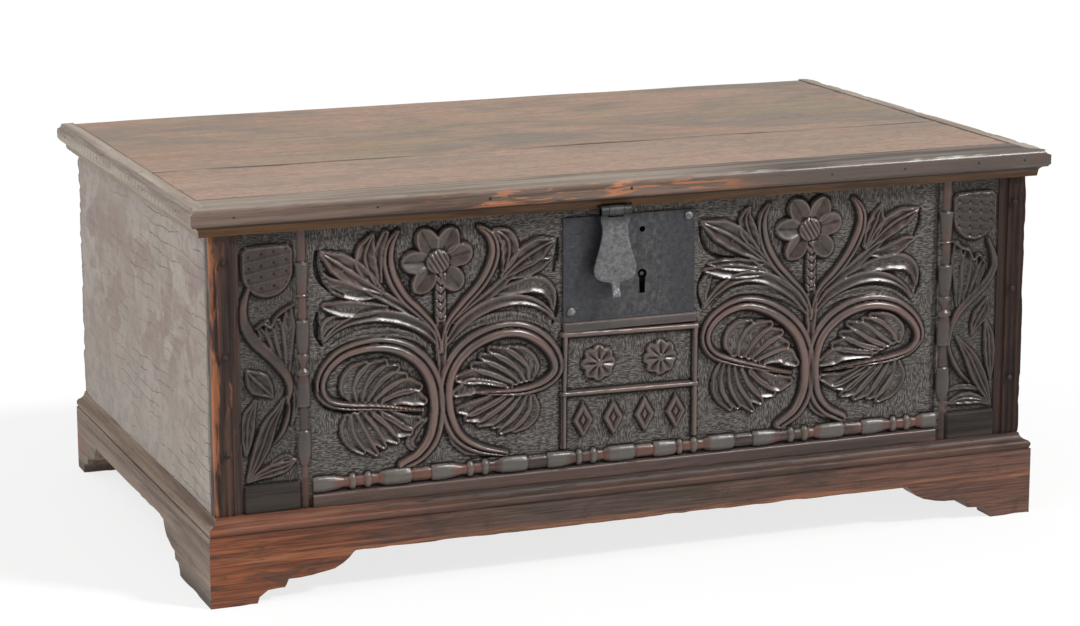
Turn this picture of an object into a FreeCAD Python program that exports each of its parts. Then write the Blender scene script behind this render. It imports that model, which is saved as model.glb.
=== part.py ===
import FreeCAD
import Part
import Sketcher
import math
import os

# Carved oak bible box on a bracket base, made as its boards, irons and nails.
# The origin is on the floor under the middle of the box. X runs along the width,
# Y from front to back and Z up. Sizes are in millimetres.

DIMENSIONS = {
    # Overall
    "lid_width": 700.0,
    "lid_depth": 424.0,
    "lid_thickness": 22.0,
    "overall_height": 297.0,
    "lid_clearance": 0.3,
    "front_overhang": 9.0,
    # Base
    "plinth_width": 683.0,
    "plinth_height": 66.0,
    "plinth_proud": 6.5,
    "plinth_thickness": 21.0,
    "plinth_face": 53.5,
    "plinth_quirk": 1.0,
    "plinth_bead": 5.7,
    "plinth_bead_set": 2.4,
    "plinth_bead_radius": 3.4,
    "plinth_cove": 4.0,
    "plinth_cove_radius": 5.5,
    "front_toe": 35.5,
    "side_front_toe": 87.5,
    "side_rear_toe": 20.0,
    "bracket_top": 32.5,
    "back_toe": 90.0,
    "corner_block": 24.0,
    "corner_block_lift": 16.0,
    # Box
    "body_width": 669.0,
    "end_thickness": 18.0,
    "back_thickness": 16.0,
    "back_rebate": 9.0,
    "bottom_thickness": 14.0,
    "frame_thickness": 20.0,
    "frame_setback": 2.0,
    "front_opening": 518.0,
    "rail_height": 23.0,
    "rail_band": 10.0,
    "carving_depth": 5.5,
    "stile_carving_depth": 4.5,
    "panel_setback": 3.0,
    "panel_thickness": 17.0,
    "tongue_length": 7.5,
    "groove_depth": 8.0,
    "tongue_thickness": 7.0,
    "tongue_setback": 11.0,
    "tenon_length": 25.0,
    "tenon_shoulder": 2.0,
    "joint_clearance": 0.2,
    "corner_moulding_width": 22.5,
    "corner_moulding_thickness": 12.0,
    "reed_width": 5.1,
    "reed_depth": 2.2,
    "reed_radius": 2.75,
    "stile_foot_width": 44.0,
    "stile_foot_height": 20.0,
    "stile_spindle_inset": 5.8,
    "rail_spindle_height": 6.5,
    # Lid
    "cleat_width": 14.0,
    "front_strip": 40.0,
    "lid_joint": 165.0,
    "nosing_step": 3.0,
    "nosing_underside": 8.5,
    "nosing_radius": 4.0,
    "nosing_low_radius": 1.5,
    "ovolo_width": 5.0,
    "ovolo_fillet": 2.0,
    "ovolo_radius": 5.8,
    # Lock
    "plate_left": -59.0,
    "plate_right": 49.0,
    "plate_low": 188.0,
    "plate_high": 268.0,
    "plate_thickness": 1.8,
    "case_margin": 12.0,
    "case_low_margin": 11.0,
    "case_high_margin": 7.0,
    "case_depth": 13.5,
    "case_wall": 1.5,
    "keyhole_x": 5.5,
    "keyhole_high": 221.0,
    "keyhole_low": 206.0,
    "keyhole_radius": 3.8,
    "keyhole_half_slot": 2.3,
    "keyhole_half_neck": 2.7,
    "small_hole_high": 255.5,
    "small_hole_radius": 2.3,
    "entry_half_width": 3.2,
    "entry_below": 6.7,
    "entry_above": 9.0,
    "drill_pin_radius": 1.5,
    "drill_pin_setback": 0.8,
    "bolt_height": 5.0,
    "bolt_thickness": 1.8,
    "bolt_length": 46.0,
    "bolt_z": 227.3,
    "bolt_play": 0.3,
    "bolt_rest": 8.0,
    "talon_half": 4.0,
    "talon_slope": 1.0,
    "talon_depth": 1.6,
    "guide_width": 5.0,
    "guide_wall": 1.6,
    "guide_from_tip": 5.0,
    "guide_from_tail": 20.0,
    "spring_thickness": 1.0,
    "spring_width": 2.8,
    "spring_lift": 0.4,
    "spring_rise": 16.0,
    "spring_foot": 8.0,
    "spring_reach": 15.0,
    "spring_bend": 60.0,
    # Hasp
    "hasp_x": -21.0,
    "hasp_thickness": 3.0,
    "hasp_standoff": 6.0,
    "hasp_neck": 24.0,
    "hasp_waist": 21.0,
    "hasp_belly": 35.0,
    "hasp_waist_drop": 15.0,
    "hasp_belly_drop": 45.0,
    "hasp_length": 54.5,
    "hasp_side_radius": 60.0,
    "hasp_corner": 7.0,
    "hasp_corner_radius": 8.5,
    "finger_lift_width": 7.0,
    "finger_lift_reach": 1.8,
    "finger_lift_drop": 9.2,
    "finger_curl_radius": 2.4,
    "hasp_knuckle_radius": 4.0,
    "hasp_pin_radius": 1.6,
    "hasp_middle_knuckle": 12.0,
    "strap_thickness": 2.5,
    "strap_length": 98.0,
    "strap_point": 12.0,
    "strap_gap": 1.0,
    "notch_side": 2.0,
    "notch_above": 0.7,
    "staple_drop": 47.5,
    "staple_reach": 8.4,
    "staple_half_gap": 3.5,
    "staple_wire": 2.2,
    "staple_end": 2.0,
    "staple_plate": 1.2,
    "staple_width": 4.0,
    "rivet_radius": 1.6,
    "rivet_height": 1.2,
    # Hinges
    "hinge_x": 210.0,
    "hinge_leaf": 2.0,
    "hinge_knuckle_radius": 3.5,
    "hinge_pin_radius": 1.6,
    "hinge_width": 40.0,
    "hinge_flare": 62.0,
    "hinge_leaf_length": 60.0,
    "hinge_middle_knuckle": 13.0,
    "knuckle_gap": 0.3,
    "leaf_gap": 0.6,
    "pin_clearance": 0.05,
    # Nails
    "nail_head": 5.6,
    "nail_head_top": 3.0,
    "nail_head_height": 1.6,
    "nail_shank": 2.4,
    "nail_length": 16.0,
}

REEDS = 3

# How far a cutting shape runs past the face that it cuts
BEYOND = 1.0
BELOW_FLOOR = 5.0

# Heights and runs of the bracket foot, from the toe inwards
BRACKET_STEPS = [
    (0.0, 0.0, None),
    (8.0, 9.0, 9.5),
    (21.0, 10.0, None),
    (24.0, 16.0, None),
    (60.0, 20.5, 90.0),
    (74.0, 31.0, -16.0),
    (76.0, 32.5, None),
]
SIDE_BRACKET_SCALE = 0.62

# Carved bands and discs: the angle of one stroke of the gouge, in degrees
BAND_STROKE = 30.0

# Carved leaves: places along a leaf from base to tip, and the share of its full swell there
LEAF_SWELLS = ((0.3, 0.88), (0.7, 0.88))

# Carved trees of the front panel: heights above the floor and distances from the tree's own axis
TREE_AXES = (-157.0, 148.5)
SCROLL_CENTRE = (51.0, 140.0)
SCROLL_RADIUS = 45.0
SCROLL_WIDTH = 9.0
SWEEP_CENTRE = (52.0, 150.0)
SWEEP_RADIUS = 56.0
SWEEP_WIDTH = 8.0
CURL_CENTRE = (83.0, 152.0)
CURL_RADIUS = 13.0
FLOWER_Z = 243.0
FLOWER_DISC = 9.0
FLOWER_REACH = 27.0
PETAL_SWELL = 5.6
PETAL_ANGLES = (5.0, 62.0, 118.0, 175.0, 232.0, 308.0)

# Share of the full relief of the panel's flowers, stems, framing fillets and tablet motifs
PETAL_SHARE = 0.86
DISC_SHARE = 0.98
STEM_SHARE = 0.82
FILLET_SHARE = 0.6
MOTIF_SHARE = 0.5
STEM_HALF = 4.0
STEM_LOW = 172.0
STEM_HIGH = 230.0

# Middle of the panel: heights of the ledge under the lock plate, the fillet above it and the two tablets
LEDGE = (177.0, 187.5)
TOP_FILLET = (268.5, 274.0)
UPPER_TABLET = (134.0, 176.5)
TABLET_FILLET = (130.0, 133.5)
LOWER_TABLET = (91.0, 129.5)
FILLET_OUTSIDE = 1.0
FILLET_INSIDE = 3.0
ROSETTE_RADIUS = 11.0
ROSETTES = ((-30.0, 154.0), (21.0, 154.0))
LOZENGE_HALVES = (9.0, 14.0)
LOZENGES = ((-42.0, 111.0), (-17.0, 111.0), (8.0, 111.0), (33.0, 111.0))

# Carved spindles of the frame: the repeat, the first ring on stile and rail, and the radii of the swellings
SPINDLE_UNIT = 89.0
STILE_FIRST_RING = 84.0
RAIL_FIRST_RING = 36.5
SPINDLE_NECK = 3.0
SPINDLE_RING = 4.1
SPINDLE_REEL = 3.7
SPINDLE_BULB = 4.2
SPINDLE_STEPS = (
    (-7, SPINDLE_NECK), (-6, SPINDLE_RING), (6, SPINDLE_RING), (7, SPINDLE_NECK),
    (27, SPINDLE_BULB), (36, SPINDLE_REEL), (53, SPINDLE_REEL), (62, SPINDLE_BULB),
)
SPINDLE_END = 1.0

# Nails: places along the lid's front edge, back along its ends, up the corners and on the irons
FRONT_NAIL_X = (-318, -210, -123, -10, 157, 220, 285, 326)
END_NAIL_DEPTHS = (42, 150, 285, 395)
EDGE_NAIL_RISE = 6.0
CORNER_NAIL_Z = (112, 185, 255)
PLATE_NAILS = ((43.5, 263.5), (-53.0, 196.0))
STRAP_NAIL_DEPTHS = (22, 52, 82)
HINGE_NAILS = ((-16, 46), (16, 46), (0, 24))

doc = FreeCAD.newDocument("bible_box")
sheet = doc.addObject("Spreadsheet::Sheet", "Sizes")
for row, (alias, number) in enumerate(DIMENSIONS.items(), start=1):
    sheet.set("A%d" % row, alias)
    sheet.set("B%d" % row, str(number))
    sheet.setAlias("B%d" % row, alias)
doc.recompute()


class Size:
    """A length that keeps its value and the sheet formula that gives it."""

    def __init__(self, value, formula):
        self.value = value
        self.formula = formula

    def join(self, sign, other, value):
        return Size(value, "(%s %s %s)" % (self.formula, sign, size(other).formula))

    def __add__(self, other):
        return self.join("+", other, self.value + size(other).value)

    def __sub__(self, other):
        return self.join("-", other, self.value - size(other).value)

    def __mul__(self, other):
        return self.join("*", other, self.value * size(other).value)

    def __truediv__(self, other):
        return self.join("/", other, self.value / size(other).value)

    def __radd__(self, other):
        return size(other) + self

    def __rsub__(self, other):
        return size(other) - self

    def __rmul__(self, other):
        return size(other) * self

    def __neg__(self):
        return size(0) - self


def size(thing):
    """Turn a sheet name or a plain number into a Size."""
    if isinstance(thing, Size):
        return thing
    if isinstance(thing, str):
        return Size(sheet.get(thing), "Sizes." + thing)
    return Size(float(thing), repr(float(thing)))


def bind(thing, path, length):
    """Drive one property of an object by the sheet."""
    thing.setExpression(path, size(length).formula)


nodes = {}


def keep(label, thing):
    """Name an object as a finished piece of the box."""
    thing.Label = label
    nodes[label] = thing
    return thing


def box(label, low, high):
    """A board between two opposite corners."""
    board = doc.addObject("Part::Box", label)
    for axis, side, start, end in zip("xyz", ("Length", "Width", "Height"), low, high):
        bind(board, side, size(end) - start)
        bind(board, "Placement.Base." + axis, start)
    return board


ROUND_TURNS = {
    "x": FreeCAD.Rotation(FreeCAD.Vector(0, 1, 0), 90),
    "y": FreeCAD.Rotation(FreeCAD.Vector(1, 0, 0), -90),
}


def rod(label, radius, along, start, end, centre):
    """A round rod along X or Y; centre gives its other two coordinates."""
    solid = doc.addObject("Part::Cylinder", label)
    bind(solid, "Radius", radius)
    bind(solid, "Height", size(end) - start)
    solid.Placement = FreeCAD.Placement(FreeCAD.Vector(), ROUND_TURNS[along])
    others = "yz" if along == "x" else "xz"
    bind(solid, "Placement.Base." + along, start)
    for axis, place in zip(others, centre):
        bind(solid, "Placement.Base." + axis, place)
    return solid


def cut(label, base, *tools):
    """Take each tool away from the base in turn."""
    for tool in tools:
        result = doc.addObject("Part::Cut", label)
        result.Base = base
        result.Tool = tool
        base = result
    return base


def fuse(label, *solids):
    result = doc.addObject("Part::MultiFuse", label)
    result.Shapes = list(solids)
    return result


def common(label, first, second):
    result = doc.addObject("Part::Common", label)
    result.Base = first
    result.Tool = second
    return result


def group(label, *solids):
    result = doc.addObject("Part::Compound", label)
    result.Links = list(solids)
    return result


PLANES = {"top": "XY_Plane", "front": "XZ_Plane", "side": "YZ_Plane"}


def new_body(label):
    return doc.addObject("PartDesign::Body", label)


def short_arc(start, end, radius):
    """The short arc between two points; a positive radius bulges to the left of the way from start to end."""
    across = end - start
    left = FreeCAD.Vector(-across.y, across.x, 0).normalize()
    reach = abs(radius)
    drop = math.sqrt(max(reach ** 2 - across.Length ** 2 / 4, 0))
    centre = (start + end) / 2 - left * math.copysign(drop, radius)
    first, last = (end, start) if radius > 0 else (start, end)
    angles = [math.atan2(point.y - centre.y, point.x - centre.x) for point in (first, last)]
    if angles[1] < angles[0]:
        angles[1] += 2 * math.pi
    circle = Part.Circle(centre, FreeCAD.Vector(0, 0, 1), max(reach, across.Length / 2))
    return Part.ArcOfCircle(circle, angles[0], angles[1])


def draw(sketch, loop):
    """Draw a closed loop of corners (u, v) or (u, v, radius of the arc that ends there).

    Corners given as Size pairs are held in place by the sheet.
    """
    corners = [FreeCAD.Vector(size(c[0]).value, size(c[1]).value, 0) for c in loop]
    edges = []
    for index, corner in enumerate(loop):
        start = corners[index - 1]
        end = corners[index]
        radius = size(corner[2]).value if len(corner) > 2 and corner[2] is not None else None
        if radius is None:
            edges.append(Part.LineSegment(start, end))
        else:
            edges.append(short_arc(start, end, radius))
    first = sketch.GeometryCount
    sketch.addGeometry(edges, False)
    if not any(isinstance(c[0], Size) or isinstance(c[1], Size) for c in loop):
        return
    ends = [(2, 1) if len(c) > 2 and c[2] is not None and size(c[2]).value > 0 else (1, 2) for c in loop]
    rules = []
    formulas = []
    for index, corner in enumerate(loop):
        edge = first + index
        following = (index + 1) % len(loop)
        rules.append(Sketcher.Constraint("Coincident", edge, ends[index][1],
                                         first + following, ends[following][0]))
        for kind, axis, place in (("DistanceX", -2, corner[0]), ("DistanceY", -1, corner[1])):
            if abs(size(place).value) < 1e-9:
                rules.append(Sketcher.Constraint("PointOnObject", edge, ends[index][1], axis))
                continue
            formulas.append((len(rules), size(place).formula))
            rules.append(Sketcher.Constraint(kind, -1, 1, edge, ends[index][1], size(place).value))
        if len(corner) > 2 and corner[2] is not None:
            formulas.append((len(rules), "abs(%s)" % size(corner[2]).formula))
            rules.append(Sketcher.Constraint("Radius", edge, abs(size(corner[2]).value)))
    before = sketch.ConstraintCount
    sketch.addConstraint(rules)
    for place, formula in formulas:
        sketch.setExpression("Constraints[%d]" % (before + place), formula)


def sketch_on(body, plane, offset, loops):
    sketch = body.newObject("Sketcher::SketchObject", "outline")
    support = [f for f in body.Origin.OriginFeatures if f.Role == PLANES[plane]]
    sketch.AttachmentSupport = [(support[0], "")]
    sketch.MapMode = "FlatFace"
    bind(sketch, "AttachmentOffset.Base.z", offset)
    for loop in loops:
        draw(sketch, loop)
    return sketch


def pad(body, plane, loops, start, end):
    """Raise closed outlines from one depth to another; the front plane looks along -Y."""
    offset = -size(end) if plane == "front" else size(start)
    feature = body.newObject("PartDesign::Pad", "raise")
    feature.Profile = sketch_on(body, plane, offset, loops)
    bind(feature, "Length", size(end) - start)
    return body


def prism(label, plane, loop, start, end):
    """A piece with one outline all through."""
    return pad(new_body(label), plane, [loop], start, end)


def half_octagon(radius, forwards):
    """Section of a carved spindle: half an octagon in front of its axis, sunk a little into its ground.

    The first coordinate runs along the ground where forwards is 1, and away from it where forwards is 0.
    """
    side = radius * math.tan(math.pi / 8)
    sunk = BEYOND
    section = [(-radius, sunk), (-radius, -side), (-side, -radius), (side, -radius), (radius, -side), (radius, sunk)]
    return section if forwards else [(corner[1], corner[0]) for corner in section]


def carve_spindle(body, plane, start, marks, axis):
    """Carve a spindle from flat facets through a section at each mark, measured along its axis from the start."""
    sections = []
    for place, radius in marks:
        sketch = sketch_on(body, plane, start + place, [half_octagon(radius, plane == "top")])
        bind(sketch, "AttachmentOffset.Base.x", axis[0])
        bind(sketch, "AttachmentOffset.Base.y", axis[1])
        sections.append(sketch)
    feature = body.newObject("PartDesign::AdditiveLoft", "spindle")
    feature.Profile = sections[0]
    feature.Sections = sections[1:]
    feature.Ruled = True
    return body


def rectangle(left, right, low, high):
    return [(left, low), (right, low), (right, high), (left, high)]


# Main levels and faces
half_lid = size("lid_width") / 2
half_body = size("body_width") / 2
half_plinth = size("plinth_width") / 2
half_opening = size("front_opening") / 2
plinth_top = size("plinth_height")
lid_top = size("overall_height")
lid_under = lid_top - "lid_thickness"
body_top = lid_under - "lid_clearance"
total_depth = size("lid_depth") + size("hinge_knuckle_radius") * 2
lid_front = -total_depth / 2
lid_back = lid_front + "lid_depth"
body_front = lid_front + "front_overhang"
frame_front = body_front + "frame_setback"
frame_back = frame_front + "frame_thickness"
panel_front = body_front + "panel_setback"
panel_ground = panel_front + "carving_depth"
panel_back = panel_front + "panel_thickness"
stile_ground = frame_front + "stile_carving_depth"
end_inside = half_body - "end_thickness"
end_front = body_front + "corner_moulding_thickness"
back_front = lid_back - "back_thickness"
rail_top = plinth_top + "rail_height"
tongue_front = body_front + "tongue_setback"
tongue_back = tongue_front + "tongue_thickness"
fit = size("joint_clearance")
SIDES = {"left": -1, "right": 1}


# Base
plinth_front_face = body_front - "plinth_proud"
plinth_inside = plinth_front_face + "plinth_thickness"


def plinth_profile(inward, flip):
    """Moulded section of a base board; inward places a distance from its outer face."""
    bead_low = size("plinth_face") + "plinth_quirk"
    bead_high = bead_low + "plinth_bead"
    bead_in = size("plinth_bead_set")
    ledge = bead_in + "plinth_quirk"
    return [
        (inward(0), 0),
        (inward(0), size("plinth_face")),
        (inward("plinth_quirk"), size("plinth_face")),
        (inward("plinth_quirk"), bead_low),
        (inward(bead_in), bead_high, size("plinth_bead_radius") * flip),
        (inward(ledge), bead_high),
        (inward(ledge + "plinth_cove"), plinth_top, size("plinth_cove_radius") * -flip),
        (inward("plinth_thickness"), plinth_top),
        (inward("plinth_thickness"), 0),
    ]


def bracket(toe, inwards, scale):
    """Edge of a bracket foot from its toe up to the cut-out's top."""
    edge = []
    for run, rise, radius in BRACKET_STEPS:
        corner = (toe + run * inwards * scale, size(rise))
        if radius is not None:
            corner = corner + (radius * inwards,)
        edge.append(corner)
    return edge


def cutout(low_toe, high_toe, scale):
    """Outline of the opening between two bracket feet, carried below the floor."""
    rising = bracket(low_toe, 1, scale)
    falling = bracket(high_toe, -1, scale)
    down = []
    for index in range(len(falling) - 1, -1, -1):
        corner = falling[index][:2]
        arrives = falling[index + 1] if index + 1 < len(falling) else ()
        if len(arrives) > 2:
            corner = corner + (-arrives[2],)
        down.append(corner)
    below = size(-BELOW_FLOOR)
    return [(low_toe, below)] + rising + down + [(high_toe, below)]


def make_plinth_front():
    blank = prism("plinth_front_blank", "side",
                  plinth_profile(lambda a: plinth_front_face + a, 1), -half_plinth, half_plinth)
    corner = size("plinth_thickness")
    plan = prism("plinth_front_plan", "top", [
        (-half_plinth, plinth_front_face),
        (half_plinth, plinth_front_face),
        (half_plinth - corner, plinth_inside),
        (-half_plinth + corner, plinth_inside),
    ], size(0), plinth_top)
    mitred = common("plinth_front_mitred", blank, plan)
    toe = half_plinth - "front_toe"
    opening = prism("plinth_front_opening", "front", cutout(-toe, toe, 1.0),
                    plinth_front_face - BEYOND, plinth_inside + BEYOND)
    keep("plinth_front", cut("plinth_front", mitred, opening))


def make_plinth_side(name, sign):
    outer = half_plinth * sign
    inner = (half_plinth - "plinth_thickness") * sign
    blank = prism("plinth_%s_blank" % name, "front",
                  plinth_profile(lambda a: outer - size(a) * sign, -sign), plinth_front_face, lid_back)
    plan = prism("plinth_%s_plan" % name, "top", [
        (outer, plinth_front_face),
        (outer, lid_back),
        (inner, lid_back),
        (inner, plinth_inside),
    ], size(0), plinth_top)
    mitred = common("plinth_%s_mitred" % name, blank, plan)
    outline = cutout(plinth_front_face + "side_front_toe", lid_back - "side_rear_toe", SIDE_BRACKET_SCALE)
    low, high = sorted((outer, inner), key=lambda face: face.value)
    opening = prism("plinth_%s_opening" % name, "side", outline, low - BEYOND, high + BEYOND)
    keep("plinth_" + name, cut("plinth_" + name, mitred, opening))


def make_base():
    make_plinth_front()
    for name, sign in SIDES.items():
        make_plinth_side(name, sign)
    inside = half_plinth - "plinth_thickness"
    back_inside = lid_back - "plinth_thickness"
    board = box("plinth_back_board", (-inside, back_inside, 0), (inside, lid_back, plinth_top))
    toe = half_plinth - "back_toe"
    opening = box("plinth_back_opening", (-toe, back_inside - BEYOND, -BEYOND),
                  (toe, lid_back + BEYOND, size("bracket_top")))
    keep("plinth_back", cut("plinth_back", board, opening))
    blocks = []
    for sign in SIDES.values():
        for near, step in ((plinth_inside, 1), (back_inside, -1)):
            xs = sorted((inside * sign, (inside - "corner_block") * sign), key=lambda face: face.value)
            ys = sorted((near, near + size("corner_block") * step), key=lambda face: face.value)
            blocks.append(box("corner_block", (xs[0], ys[0], size("corner_block_lift")),
                              (xs[1], ys[1], plinth_top)))
    keep("corner_blocks", group("corner_blocks", *blocks))


# Box
def make_boards():
    for name, sign in SIDES.items():
        xs = sorted((half_body * sign, end_inside * sign), key=lambda face: face.value)
        board = box(name + "_end_blank", (xs[0], end_front, plinth_top), (xs[1], lid_back, body_top))
        rebate_x = sorted((end_inside * sign, (end_inside + "back_rebate") * sign), key=lambda face: face.value)
        rebate = box(name + "_rebate", (rebate_x[0], back_front, plinth_top), (rebate_x[1], lid_back, body_top))
        keep(name + "_end_board", cut(name + "_end_board", board, rebate))
    half_back = end_inside + "back_rebate"
    keep("back_board", box("back_board", (-half_back, back_front, plinth_top), (half_back, lid_back, body_top)))
    bottom_top = plinth_top + "bottom_thickness"
    keep("bottom_board_front",
         box("bottom_board_front", (-end_inside, frame_back, plinth_top), (end_inside, 0, bottom_top)))
    keep("bottom_board_rear",
         box("bottom_board_rear", (-end_inside, 0, plinth_top), (end_inside, back_front, bottom_top)))


def make_corner_mouldings():
    reed = size("reed_width")
    step = size("reed_depth")
    for name, sign in SIDES.items():
        outer = half_body * sign
        section = [(outer, end_front), (outer, body_front + step)]
        for number in range(REEDS):
            section.append((outer - reed * (number + 1) * sign, body_front + step,
                            size("reed_radius") * sign))
        shoulder = outer - reed * REEDS * sign
        inner = outer - size("corner_moulding_width") * sign
        section += [
            (shoulder, body_front + step * 2),
            (inner, body_front + step * 2.4),
            (inner, end_front),
        ]
        keep(name + "_corner_moulding",
             prism(name + "_corner_moulding", "top", section, plinth_top, body_top))


def spindle_marks(length, first_ring):
    """Places along a spindle and the radius there: rings, necks, bulbs and reels in turn."""
    marks = []
    ring = first_ring - SPINDLE_UNIT
    while ring < length + SPINDLE_UNIT:
        marks += [(ring + step, radius) for step, radius in SPINDLE_STEPS]
        ring += SPINDLE_UNIT
    inside = [mark for mark in marks if SPINDLE_END < mark[0] < length - SPINDLE_END]
    return [(0.0, inside[0][1])] + inside + [(length, inside[-1][1])]


def leaf(base, tip, left, right):
    """A pointed leaf between two points; left and right are the swell of its sides off the line from base to tip."""
    along = (tip[0] - base[0], tip[1] - base[1])
    length = math.hypot(*along)

    def place(share, swell):
        return (base[0] + along[0] * share - along[1] / length * swell,
                base[1] + along[1] * share + along[0] / length * swell)

    rising = [place(share, -right * fullness) for share, fullness in LEAF_SWELLS]
    falling = [place(share, left * fullness) for share, fullness in reversed(LEAF_SWELLS)]
    return [base] + rising + [tip] + falling


def band(centre, radius, width, start, end):
    """A curved band about a centre, from one angle to another in degrees, cut in flat strokes of the gouge."""
    strokes = math.ceil(abs(end - start) / BAND_STROKE)
    angles = [start + (end - start) * stroke / strokes for stroke in range(strokes + 1)]

    def place(reach, angle):
        return (centre[0] + reach * math.cos(math.radians(angle)),
                centre[1] + reach * math.sin(math.radians(angle)))

    outside = [place(radius + width / 2, angle) for angle in angles]
    inside = [place(radius - width / 2, angle) for angle in reversed(angles)]
    return outside + inside


def placed(loop, axis_x, sign):
    """Put an outline drawn beside a tree's axis on the panel, mirrored where sign is negative."""
    return [(axis_x + sign * c[0], c[1]) + tuple(r * sign for r in c[2:]) for c in loop]


def tree_outlines():
    """Outlines of one side of a carved tree, layer by layer, with the share of the full relief."""
    return [
        (1.0, [band(SCROLL_CENTRE, SCROLL_RADIUS, SCROLL_WIDTH, 228, 110)]),
        (1.0, [band(SCROLL_CENTRE, SCROLL_RADIUS, SCROLL_WIDTH, 112, 10)]),
        (0.96, [band(CURL_CENTRE, CURL_RADIUS, SCROLL_WIDTH * 0.8, 20, -95)]),
        (0.92, [leaf((9, 130), (86, 139), 5.9, 0.8), leaf((56, 90), (17, 112), 7.8, -1.7)]),
        (0.88, [band(SWEEP_CENTRE, SWEEP_RADIUS, SWEEP_WIDTH, 150, 42)]),
        (0.84, [leaf((7, 196), (35, 270), -12.2, 22.5)]),
        (0.8, [leaf((4, 188), (60, 228), 2.0, 3.0), leaf((50, 213), (95, 205), 8.8, 0.9)]),
        (0.78, [leaf((46, 215), (93, 253), 9.0, 9.0)]),
        (0.76, [leaf((43, 229), (50, 266), 6.7, 6.7), leaf((57, 217), (92, 231), 6.7, 5.7)]),
        (0.72, [leaf((80, 145), (24, 152), 4.5, 9.9), leaf((74, 134), (22, 120), 9.0, 4.1)]),
        (0.68, [leaf((84, 154), (54, 175), 9.0, 9.5), leaf((77, 132), (54, 101), 9.5, 9.0)]),
    ]


def flower_outlines(axis_x):
    """Six pointed petals about a tree's flower."""
    petals = []
    for angle in PETAL_ANGLES:
        way = (math.cos(math.radians(angle)), math.sin(math.radians(angle)))
        base = (axis_x + way[0] * FLOWER_DISC * 0.8, FLOWER_Z + way[1] * FLOWER_DISC * 0.8)
        tip = (axis_x + way[0] * FLOWER_REACH, FLOWER_Z + way[1] * FLOWER_REACH)
        petals.append(leaf(base, tip, PETAL_SWELL, PETAL_SWELL))
    return petals


def disc(centre, radius):
    """A round outline, cut in flat strokes of the gouge."""
    strokes = math.ceil(360.0 / BAND_STROKE)
    turns = [2 * math.pi * stroke / strokes for stroke in range(strokes)]
    return [(centre[0] + radius * math.cos(turn), centre[1] + radius * math.sin(turn)) for turn in turns]


def lozenge(centre, half_width, half_height):
    return [(centre[0] - half_width, centre[1]), (centre[0], centre[1] - half_height),
            (centre[0] + half_width, centre[1]), (centre[0], centre[1] + half_height)]


def relief(body, ground, depth, share, loops):
    """Raise outlines above the carved ground by a share of the full depth."""
    pad(body, "front", loops, size(ground) - size(depth) * share, ground)


def make_panel():
    body = new_body("front_panel_carved")
    edge = half_opening - fit
    pad(body, "front", [rectangle(-edge, edge, rail_top, body_top)], panel_ground, panel_back)
    tongue = half_opening + "tongue_length"
    pad(body, "front", [rectangle(-tongue, tongue, rail_top - "tongue_length", body_top)],
        tongue_front + fit / 2, tongue_back - fit / 2)
    for share, loops in tree_outlines():
        placed_loops = [placed(loop, axis, sign) for loop in loops for axis in TREE_AXES for sign in (-1, 1)]
        relief(body, panel_ground, "carving_depth", share, placed_loops)
    relief(body, panel_ground, "carving_depth", PETAL_SHARE,
           [petal for axis in TREE_AXES for petal in flower_outlines(axis)])
    relief(body, panel_ground, "carving_depth", DISC_SHARE,
           [disc((axis, FLOWER_Z), FLOWER_DISC) for axis in TREE_AXES])
    relief(body, panel_ground, "carving_depth", STEM_SHARE,
           [rectangle(axis - STEM_HALF, axis + STEM_HALF, STEM_LOW, STEM_HIGH) for axis in TREE_AXES])
    left = DIMENSIONS["plate_left"] - FILLET_OUTSIDE
    left_in = DIMENSIONS["plate_left"] + FILLET_INSIDE
    right = DIMENSIONS["plate_right"] + FILLET_INSIDE
    right_in = DIMENSIONS["plate_right"] - FILLET_OUTSIDE
    fillets = [rectangle(left, right, *level) for level in (LEDGE, TOP_FILLET, TABLET_FILLET)]
    for level in (UPPER_TABLET, LOWER_TABLET):
        fillets += [rectangle(left, left_in, *level), rectangle(right_in, right, *level)]
    relief(body, panel_ground, "carving_depth", FILLET_SHARE, fillets)
    motifs = [disc(centre, ROSETTE_RADIUS) for centre in ROSETTES]
    motifs += [lozenge(centre, *LOZENGE_HALVES) for centre in LOZENGES]
    relief(body, panel_ground, "carving_depth", MOTIF_SHARE, motifs)
    case_low, case_high = lock_case_corners()
    mortise = box("lock_mortise", (case_low[0] - fit, panel_front - BEYOND, case_low[2] - fit),
                  (case_high[0] + fit, panel_back + BEYOND, case_high[2] + fit))
    keep("front_panel", cut("front_panel", body, mortise))


def stile_outlines():
    """Outlines of a stile's carving: seed head, stem and leaves, from the outer edge inwards."""
    return [
        (1.0, [[(4, 240), (10, 229), (22, 224.5), (33, 229), (41, 240), (41, 266), (14, 265), (4, 257)]]),
        (0.94, [leaf((4, 226), (30, 172), -5.1, 11.8), leaf((38, 151), (14, 119), 8.4, -1.7)]),
        (0.88, [leaf((32, 166), (40, 214), 6.3, 6.3), leaf((37, 157), (29, 174), 0.8, 0.8)]),
        (0.82, [leaf((31, 150), (5, 170), 5.8, 5.8), leaf((5, 93), (30, 146), 7.6, 7.6)]),
        (0.76, [leaf((31, 171), (13, 205), 4.3, 4.3), leaf((6, 89), (37, 102), 3.7, 3.7)]),
    ]


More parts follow.
